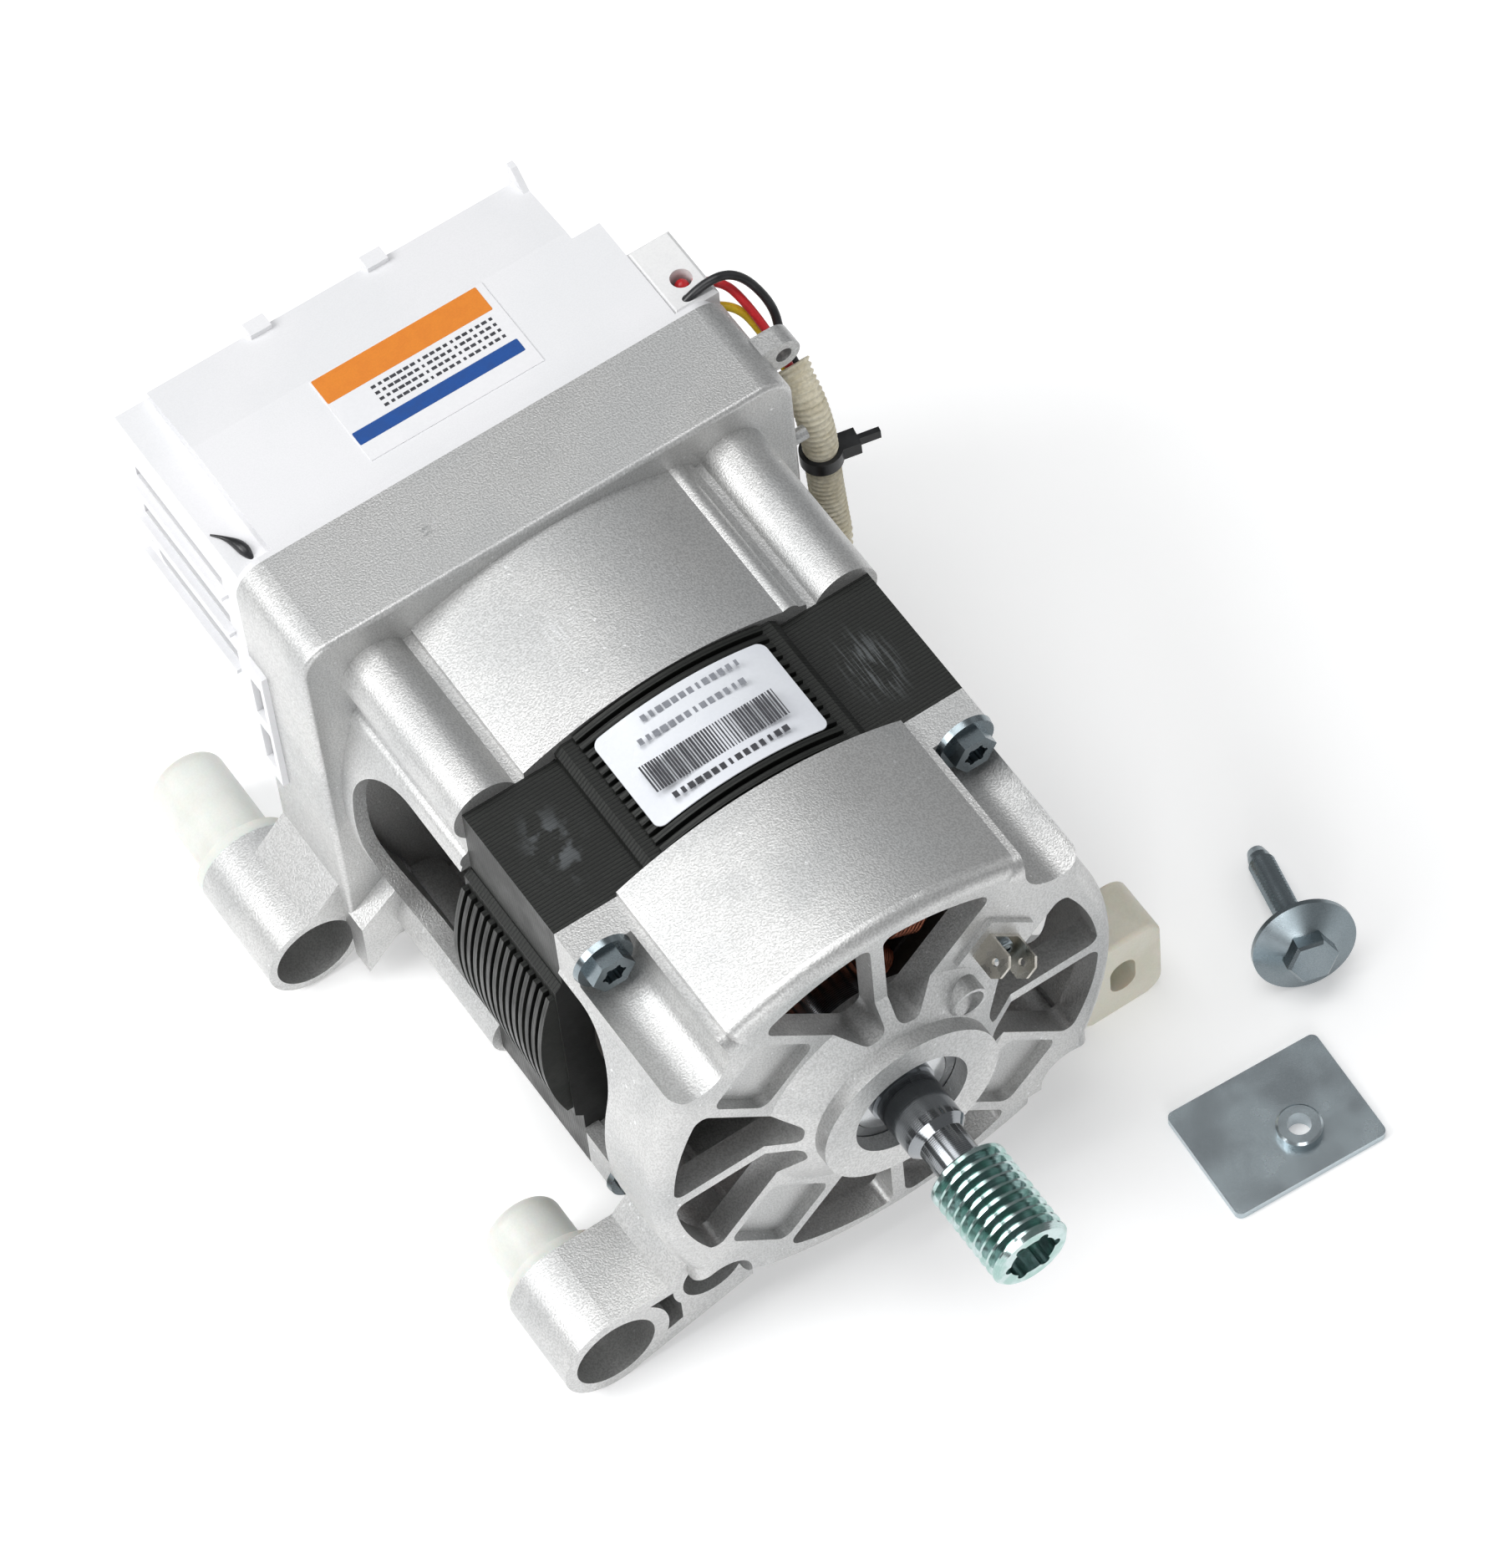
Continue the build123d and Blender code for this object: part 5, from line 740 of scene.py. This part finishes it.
@dataclass(frozen=True)
class PrintRow:
    """A printed row of bars or dashes of random widths.

    Attributes:
        name: Name of the row.
        left_mm: Where it starts.
        right_mm: Where it ends.
        middle_y_mm: Its middle along the shaft.
        count: Number of bars.
        height_mm: Size of each bar along the shaft.
        widest: Largest width of a bar, as a share of the pitch.
        ink: Its finish.
    """

    name: str
    left_mm: float
    right_mm: float
    middle_y_mm: float
    count: int
    height_mm: float
    widest: float
    ink: Finish


def printed_dashes(row: PrintRow, z_mm: float) -> bpy.types.Object:
    """Builds a printed row.

    Args:
        row: The row.
        z_mm: Height of the film under it.

    Returns:
        The row as one mesh.
    """
    rule = NodeRule(row.name)
    pitch = (row.right_mm - row.left_mm) / row.count
    rule.size("Count", row.count)
    rule.size("Pitch", pitch * MM)
    rule.size("Narrowest", pitch * NARROWEST_BAR * MM)
    rule.size("Widest", pitch * row.widest * MM)
    rule.size("Height", row.height_mm * MM)
    rule.size("Ink thickness", INK_MM * MM)
    start = Vector((row.left_mm + pitch / 2, row.middle_y_mm, z_mm + INK_MM / 2)) * MM
    offset = rule.add("ShaderNodeCombineXYZ", None, {0: rule.inlet("Pitch")}).outputs[0]
    line = {"Count": rule.inlet("Count"), "Start Location": start, "Offset": offset}
    points = rule.add("GeometryNodeMeshLine", None, line).outputs[0]
    widths = rule.add(
        "FunctionNodeRandomValue", {"data_type": "FLOAT"},
        {2: rule.inlet("Narrowest"), 3: rule.inlet("Widest"), "Seed": SEED},
    ).outputs[1]
    size = {0: widths, 1: rule.inlet("Height"), 2: rule.inlet("Ink thickness")}
    scale = rule.add("ShaderNodeCombineXYZ", None, size).outputs[0]
    bar = rule.add("GeometryNodeMeshCube", None, {"Size": (1.0, 1.0, 1.0)}).outputs[0]
    placed = {"Points": points, "Instance": bar, "Scale": scale}
    bars = rule.add("GeometryNodeInstanceOnPoints", None, placed).outputs[0]
    rule.close(bars, row.ink)
    return rule.run(bpy.data.meshes.new(row.name + "_start"), row.ink)


LABEL_ROWS = (
    PrintRow("label_bars", -17.0, 15.0, 94.6, 46, 7.0, 0.85, BLACK_INK),
    PrintRow("label_line_rear", -10.5, 13.5, 107.2, 13, 1.5, 0.85, GREY_INK),
    PrintRow("label_line_middle", -14.0, 12.0, 102.8, 14, 1.5, 0.85, GREY_INK),
    PrintRow("label_line_front", -15.0, 13.0, 88.6, 15, 1.5, 0.85, BLACK_INK),
)
STICKER_ROWS = tuple(
    PrintRow(f"sticker_line_{place}", -11.8, 18.3, y, 19, 0.75, 0.9, BLACK_INK)
    for place, y in enumerate((205.6, 203.9, 202.2, 200.4))
)
ORANGE_BAND = (-20.8, 207.4, 19.3, 214.2)
BLUE_BAND = (-20.8, 194.9, 19.3, 198.4)
# Black bead in the gap at the cover's left shoulder, a dark piece that is painted shade of the open gap, and
# the red lead's end in the connector block's hole
GAP_SHADE_BEAD = (
    (-56.2, 197.0, 53.25, 0.2), (-55.0, 195.6, 53.35, 0.3), (-53.9, 193.8, 53.5, 0.6),
    (-53.0, 191.8, 53.6, 1.15), (-52.5, 189.8, 53.6, 1.35), (-52.3, 188.2, 53.2, 0.95),
    (-52.1, 187.3, 52.6, 0.4),
)
RED_LEAD_END = (
    (54.9, 191.1, 48.1, 1.0), (54.9, 191.1, 51.0, 1.5), (54.9, 191.1, 53.4, 1.75),
    (54.9, 191.1, 54.8, 1.55), (54.9, 191.1, 55.6, 0.9), (54.9, 191.1, 55.9, 0.2),
)


@dataclass
class SubAssembly:
    """A group of CAD nodes on one body, with the pieces that finish them."""

    body: str = "housing"
    finishes: dict[str, Finish] = field(default_factory=dict)

    def dress(self) -> None:
        """Gives each CAD node of the group its finish."""
        for node, finish in self.finishes.items():
            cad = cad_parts[node]
            if not cad.material_slots:
                cad.data.materials.append(finish.material())
            for place in cad.material_slots:
                place.material = finish.material()
            log.info("%s dressed in %s", node, finish.name)

    def carry(self, piece: bpy.types.Object, slot: str, *replaced: str) -> bpy.types.Object:
        """Makes a new piece ride on the group's body.

        Args:
            piece: The finished piece.
            slot: Not used.
            replaced: CAD nodes that the piece stands for.

        Returns:
            The piece.
        """
        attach(piece, self.body)
        if replaced:
            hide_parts(*replaced)
        log.info("%s rides on %s", piece.name, self.body)
        return piece


@dataclass
class Castings(SubAssembly):
    """Both die-cast brackets with the parts that are fixed to them."""

    finishes: dict[str, Finish] = field(
        default_factory=lambda: {
            "front_bracket": CAST_ALUMINIUM,
            "rear_bracket": CAST_ALUMINIUM,
            "front_lug_plug": WHITE_NYLON,
            "rear_lug_plug": WHITE_NYLON,
            "slot_bushing": IVORY_NYLON,
            "through_bolts": ZINC_SCREW,
            "earth_screw": ZINC_SCREW,
            "earth_terminal": TINNED_BRASS,
        }
    )

    def build(self) -> None:
        """Dresses the brackets."""
        self.dress()


@dataclass
class Stator(SubAssembly):
    """The sheet stack with its label and its wound teeth."""

    tooth_count: int = 12
    wire_mm: float = 1.06
    layer_count: int = 3
    turn_count: int = 7
    first_radius_mm: float = 31.1
    inner_half_width_mm: float = 4.4
    inner_half_length_mm: float = 19.9
    middle_y_mm: float = 97.8
    tooth_corner_mm: float = 0.6
    corner_steps: int = 4
    wire_sides: int = 6
    finishes: dict[str, Finish] = field(
        default_factory=lambda: {
            "stator_core": VARNISHED_STACK,
            "front_insulator": INSULATOR_PLASTIC,
            "rear_insulator": INSULATOR_PLASTIC,
            "stator_label": LABEL_FILM,
        }
    )

    def windings(self) -> bpy.types.Object:
        """Winds layers of round wire on every tooth.

        Returns:
            The windings as one mesh.
        """
        rule = NodeRule("stator_windings")
        rule.size("Teeth", self.tooth_count)
        rule.size("Turns", self.turn_count)
        rule.size("Wire", self.wire_mm * MM)
        rule.size("First radius", (self.first_radius_mm + self.wire_mm / 2) * MM)
        wire = rule.inlet("Wire")
        loops = rule.add("GeometryNodeJoinGeometry")
        for layer in range(self.layer_count):
            proud = (layer + 0.5) * self.wire_mm
            sizes = {
                "Width": 2 * (self.inner_half_width_mm + proud) * MM,
                "Height": 2 * (self.inner_half_length_mm + proud) * MM,
            }
            loop = rule.add("GeometryNodeCurvePrimitiveQuadrilateral", None, sizes).outputs[0]
            corner = {"Curve": loop, "Radius": (self.tooth_corner_mm + proud) * MM, "Limit Radius": True}
            corner["Count"] = self.corner_steps
            rounded = rule.add("GeometryNodeFilletCurve", {"mode": "POLY"}, corner).outputs[0]
            rule.tree.links.new(rounded, loops.inputs[0])
        step = rule.add("ShaderNodeCombineXYZ", None, {2: wire}).outputs[0]
        first = rule.add("ShaderNodeCombineXYZ", None, {2: rule.inlet("First radius")}).outputs[0]
        line = {"Count": rule.inlet("Turns"), "Start Location": first, "Offset": step}
        stack = rule.add("GeometryNodeMeshLine", None, line).outputs[0]
        wound = {"Points": stack, "Instance": loops.outputs[0]}
        turns = rule.add("GeometryNodeInstanceOnPoints", None, wound).outputs[0]
        curves = rule.add("GeometryNodeRealizeInstances", None, {"Geometry": turns}).outputs[0]
        radius = rule.maths("MULTIPLY", wire, 0.5)
        ring = {"Resolution": self.wire_sides, "Radius": radius}
        section = rule.add("GeometryNodeCurvePrimitiveCircle", None, ring).outputs[0]
        along = {"Curve": curves, "Profile Curve": section}
        wires = rule.add("GeometryNodeCurveToMesh", None, along).outputs[0]
        middle = Vector((0, self.middle_y_mm, 0)) * MM
        all_teeth = {"Count": rule.inlet("Teeth"), "Start Location": middle, "Offset": (0.0, 0.0, 0.0)}
        teeth = rule.add("GeometryNodeMeshLine", None, all_teeth).outputs[0]
        index = rule.add("GeometryNodeInputIndex").outputs[0]
        angle = rule.maths("MULTIPLY", rule.maths("DIVIDE", index, rule.inlet("Teeth")), 2 * math.pi)
        turn = rule.add("ShaderNodeCombineXYZ", None, {1: angle}).outputs[0]
        placed = {"Points": teeth, "Instance": wires, "Rotation": turn}
        round_shaft = rule.add("GeometryNodeInstanceOnPoints", None, placed).outputs[0]
        rule.close(round_shaft, ENAMELLED_COPPER)
        return rule.run(bpy.data.meshes.new("windings_start"), ENAMELLED_COPPER)

    def build(self) -> None:
        """Dresses the stator, winds its teeth and prints its label."""
        self.dress()
        self.carry(self.windings(), "enamelled_copper", "stator_coils")
        label_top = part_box("stator_label")[1].z / MM
        for row in LABEL_ROWS:
            self.carry(printed_dashes(row, label_top), "white_label")


@dataclass
class Rotor(SubAssembly):
    """Everything that turns with the shaft."""

    body: str = "rotor"
    finishes: dict[str, Finish] = field(
        default_factory=lambda: {
            "rotor_shaft": GROUND_SHAFT,
            "rotor_core": ROTOR_STACK,
            "rotor_magnets": SINTERED_MAGNET,
            "rotor_end_plates": TURNED_ALUMINIUM,
            "belt_pulley": PULLEY_PLATE,
            "front_bearing_inner_race": BEARING_STEEL,
            "rear_bearing_inner_race": BEARING_STEEL,
        }
    )

    def build(self) -> None:
        """Dresses the rotor."""
        self.dress()


@dataclass
class Bearings(SubAssembly):
    """Outer races, shields, balls and cages of both bearings."""

    finishes: dict[str, Finish] = field(
        default_factory=lambda: {
            "front_bearing_outer_race": BEARING_STEEL,
            "rear_bearing_outer_race": BEARING_STEEL,
            "front_bearing_shields": PRESSED_STEEL,
            "rear_bearing_shields": PRESSED_STEEL,
            "front_bearing_balls": BEARING_STEEL,
            "rear_bearing_balls": BEARING_STEEL,
            "front_bearing_cage": CAGE_PLASTIC,
            "rear_bearing_cage": CAGE_PLASTIC,
            "preload_washer": SPRING_STEEL,
        }
    )

    def build(self) -> None:
        """Dresses the bearings."""
        self.dress()


@dataclass
class DriveUnit(SubAssembly):
    """White cover, its sticker and the electronics behind it."""

    finishes: dict[str, Finish] = field(
        default_factory=lambda: {
            "inverter_cover": WHITE_COVER,
            "cover_sticker": STICKER_FILM,
            "cover_screws": ZINC_PLATE,
            "control_board": SOLDER_RESIST,
            "board_screws": ZINC_PLATE,
            "power_module": BLACK_EPOXY,
            "bus_capacitors": CAPACITOR_SLEEVE,
            "line_choke": CHOKE_COAT,
            "power_relay": RELAY_CASE,
            "mains_header": HEADER_PLASTIC,
            "mains_header_pins": TINNED_BRASS,
        }
    )

    def sticker_print(self) -> list[bpy.types.Object]:
        """Prints the sticker's plain bands and dashes.

        Returns:
            The printed pieces.
        """
        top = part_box("cover_sticker")[1].z / MM
        bands = [
            film("sticker_orange_band", ORANGE_BAND, top, ORANGE_INK),
            film("sticker_blue_band", BLUE_BAND, top, BLUE_INK),
        ]
        return bands + [printed_dashes(row, top) for row in STICKER_ROWS]

    def build(self) -> None:
        """Dresses the drive unit and prints its sticker."""
        self.dress()
        # The black bead at the cover's left shoulder is painted shade: a dark piece where the open gap lies
        # in shadow.
        self.carry(bead("gap_shade_bead", GAP_SHADE_BEAD, BLACK_PVC), "black_insulation")
        for piece in self.sticker_print():
            self.carry(piece, "sticker_film")


@dataclass(frozen=True)
class Lead:
    """One motor lead from the connector block to its coil.

    Attributes:
        node: CAD node that it stands for.
        finish: Its insulation.
        slot: Name of a material slot, handed on to carry.
        route_mm: Its route's points.
        length: Its real length in metres.
    """

    node: str
    finish: Finish
    slot: str
    route_mm: tuple[Point, ...]
    length: float


SLEEVE_ROUTE = (
    (66.2, 169.2, 41.4), (66.2, 160.4, 36.4), (65.8, 158.4, 9.0), (63.4, 150.6, -7.6), (50.0, 143.6, -9.4),
)
LEADS = (
    Lead(
        "red_lead", RED_PVC, "red_insulation",
        (
            (57.2, 190.8, 54.4), (62.2, 187.8, 54.2), (64.3, 182.4, 51.4), (65.6, 173.5, 45.6),
            (65.6, 159.5, 37.6), (65.2, 157.5, 10.2), (62.8, 149.7, -6.4), (42.3, 139.0, -9.1),
            (30.3, 131.1, 17.5), (30.3, 121.1, 17.5),
        ),
        0.139,
    ),
    Lead(
        "yellow_lead", YELLOW_PVC, "yellow_insulation",
        (
            (57.6, 186.4, 49.6), (63.0, 184.4, 49.8), (65.3, 175.8, 44.2), (65.3, 161.8, 36.2),
            (64.9, 159.8, 8.8), (62.5, 152.0, -7.8), (42.0, 141.3, -10.5), (35.0, 131.1, 0.0),
            (35.0, 121.1, 0.0),
        ),
        0.120,
    ),
    Lead(
        "black_lead", BLACK_PVC, "black_insulation",
        (
            (51.2, 186.4, 54.8), (56.4, 185.9, 59.7), (64.6, 184.8, 59.0), (69.4, 179.4, 49.4),
            (67.6, 174.4, 43.5), (67.6, 160.4, 35.5), (67.2, 158.4, 8.2), (64.8, 150.6, -8.5),
            (44.3, 139.9, -11.1), (30.3, 131.1, -17.5), (30.3, 121.1, -17.5),
        ),
        0.141,
    ),
)


@dataclass
class Harness(SubAssembly):
    """Connector block, motor leads, their ribbed sleeve and the cable tie."""

    lead_radius_mm: float = 1.0
    sleeve_radius_mm: float = 3.6
    sleeve_wall_mm: float = 0.5
    rib_pitch_mm: float = 1.3
    steps_per_rib: float = 8.0
    ring_sides: int = 28
    rib_depth: float = 0.075
    ruffle: float = 0.16
    ruffle_length_mm: float = 3.5
    sleeve_length: float = 0.067
    finishes: dict[str, Finish] = field(
        default_factory=lambda: {"connector_block": BLOCK_PLASTIC, "cable_tie": BLACK_NYLON}
    )

    def sleeve(self) -> tuple[bpy.types.Object, list[Vector]]:
        """Makes the ribbed sleeve as an open tube along its spline, with a ruffled mouth.

        Returns:
            The sleeve and the points that it follows, in metres.
        """
        points = spline_points(list(SLEEVE_ROUTE))
        line = bpy.data.meshes.new("sleeve_line")
        line.from_pydata(points, [(i, i + 1) for i in range(len(points) - 1)], [])
        rule = NodeRule("ribbed_sleeve")
        rule.size("Radius", self.sleeve_radius_mm * MM)
        rule.size("Rib pitch", self.rib_pitch_mm * MM)
        rule.size("Rib depth", self.rib_depth)
        rule.size("Ruffle", self.ruffle)
        rule.size("Ruffle length", self.ruffle_length_mm * MM)
        curve = rule.add("GeometryNodeMeshToCurve", None, {"Mesh": rule.inlet("Geometry")}).outputs[0]
        fine = {"Curve": curve, "Length": rule.maths("DIVIDE", rule.inlet("Rib pitch"), self.steps_per_rib)}
        fine = rule.add("GeometryNodeResampleCurve", {"mode": "LENGTH"}, fine).outputs[0]
        along = rule.add("GeometryNodeSplineParameter").outputs["Length"]
        angle = rule.maths("MULTIPLY", rule.maths("DIVIDE", along, rule.inlet("Rib pitch")), 2 * math.pi)
        wave = rule.add("ShaderNodeMath", {"operation": "SINE"}, {0: angle}).outputs[0]
        rib = rule.maths("ADD", rule.maths("MULTIPLY", wave, rule.inlet("Rib depth")), 1.0)
        mouth = {0: along, 1: 0.0, 2: rule.inlet("Ruffle length"), 3: rule.inlet("Ruffle"), 4: 0.0}
        smooth = {"interpolation_type": "SMOOTHSTEP"}
        flare = rule.add("ShaderNodeMapRange", smooth, mouth).outputs[0]
        scale = rule.maths("ADD", rib, flare)
        ring = {"Resolution": self.ring_sides, "Radius": rule.inlet("Radius")}
        section = rule.add("GeometryNodeCurvePrimitiveCircle", None, ring).outputs[0]
        swept = {"Curve": fine, "Profile Curve": section, "Scale": scale}
        tube = rule.add("GeometryNodeCurveToMesh", None, swept).outputs[0]
        rule.close(tube, RIBBED_SLEEVE)
        return rule.run(line, RIBBED_SLEEVE, self.sleeve_wall_mm), points

    def build(self) -> None:
        """Dresses the block and the tie, and makes the sleeve and the leads."""
        self.dress()
        self.carry(bead("red_lead_end", RED_LEAD_END, RED_PVC), "red_insulation")
        sleeve, points = self.sleeve()
        self.carry(sleeve, "beige_sleeve", "harness_sleeve")
        log.info("sleeve is %.4f m long", line_length(points))
        for lead in LEADS:
            piece = spline_curve(lead.node + "_wire", list(lead.route_mm), self.lead_radius_mm, lead.finish)
            self.carry(piece, lead.slot, lead.node)
            run = spline_points(list(lead.route_mm))
            log.info("%s is %.4f m long", lead.node, line_length(run))


@dataclass
class LooseItems(SubAssembly):
    """The fixing screw and the nut plate that lie beside the motor."""

    finishes: dict[str, Finish] = field(
        default_factory=lambda: {"fixing_screw": ZINC_SCREW, "nut_plate": ZINC_PLATE}
    )

    def build(self) -> None:
        """Dresses the loose items."""
        self.dress()


@dataclass(frozen=True)
class Lamp:
    """One soft square light that faces the motor.

    Attributes:
        name: Name of the light.
        place_mm: Where it hangs.
        size_mm: Its side.
        power: Its power in watts.
    """

    name: str
    place_mm: Point
    size_mm: float
    power: float


LAMPS = (
    Lamp("key_light", (-1150.0, 400.0, 1000.0), 900.0, 17.0),
    Lamp("top_light", (-150.0, 250.0, 1500.0), 1000.0, 10.5),
    Lamp("front_light", (-500.0, -1300.0, 500.0), 700.0, 6.0),
    Lamp("fill_light", (1200.0, -200.0, 700.0), 900.0, 1.2),
)


@dataclass
class Studio:
    """Floor, soft lights and the camera."""

    floor_half_mm: float = 2500.0
    room_light: float = 0.28
    view_end: float = 20.0
    camera_mm: Point = (-378.5, -627.8, 1361.8)
    to_camera: Point = (-0.24646, -0.46274, 0.85154)
    roll: float = -6.67
    lens_mm: float = 178.46
    sensor_mm: float = 36.0
    target_mm: Point = (10.0, 110.0, 0.0)

    def floor(self) -> None:
        """Lays the flat, pale floor under the motor."""
        level = CAD_BOX[0].z
        shape = bmesh.new()
        bmesh.ops.create_grid(shape, x_segments=24, y_segments=24, size=self.floor_half_mm * MM)
        for vertex in shape.verts:
            vertex.co.z = level
        mesh = bpy.data.meshes.new("floor")
        shape.to_mesh(mesh)
        shape.free()
        mesh_object("floor", mesh, PAPER_SWEEP)

    def light(self, lamp: Lamp) -> None:
        """Hangs one light.

        Args:
            lamp: The light.
        """
        data = bpy.data.lights.new(lamp.name, "AREA")
        data.energy = lamp.power
        data.size = lamp.size_mm * MM
        made = bpy.data.objects.new(lamp.name, data)
        bpy.context.scene.collection.objects.link(made)
        place = Vector(lamp.place_mm) * MM
        aim = Vector(self.target_mm) * MM - place
        made.matrix_world = Matrix.Translation(place) @ aim.to_track_quat("-Z", "Y").to_matrix().to_4x4()

    def lights(self) -> None:
        """Hangs all lights and sets the even light of the room."""
        for lamp in LAMPS:
            self.light(lamp)
        room = bpy.data.worlds.new("room")
        room.use_nodes = True
        ground = room.node_tree.nodes["Background"]
        ground.inputs["Color"].default_value = srgb("F4F6F8")
        ground.inputs["Strength"].default_value = self.room_light
        bpy.context.scene.world = room
        bpy.context.scene.view_settings.view_transform = "Standard"

    def camera(self) -> None:
        """Places the camera at the photograph's viewing angle."""
        data = bpy.data.cameras.new("camera")
        data.lens = self.lens_mm
        data.sensor_width = self.sensor_mm
        data.clip_end = self.view_end
        made = bpy.data.objects.new("camera", data)
        bpy.context.scene.collection.objects.link(made)
        facing = (-Vector(self.to_camera)).to_track_quat("-Z", "Y").to_matrix()
        turned = facing @ Matrix.Rotation(math.radians(self.roll), 3, "Z")
        made.matrix_world = Matrix.Translation(Vector(self.camera_mm) * MM) @ turned.to_4x4()
        bpy.context.scene.camera = made

    def build(self) -> None:
        """Sets up floor, lights and camera."""
        self.floor()
        self.lights()
        self.camera()


def main() -> None:
    """Builds the studio and every sub-assembly in order."""
    logging.basicConfig(level=logging.INFO, format="%(name)s: %(message)s")
    for part in (Studio(), Castings(), Stator(), Rotor(), Bearings(), DriveUnit(), Harness(), LooseItems()):
        part.build()
        log.info("%s is built", type(part).__name__)


if __name__ == "__main__":
    main()
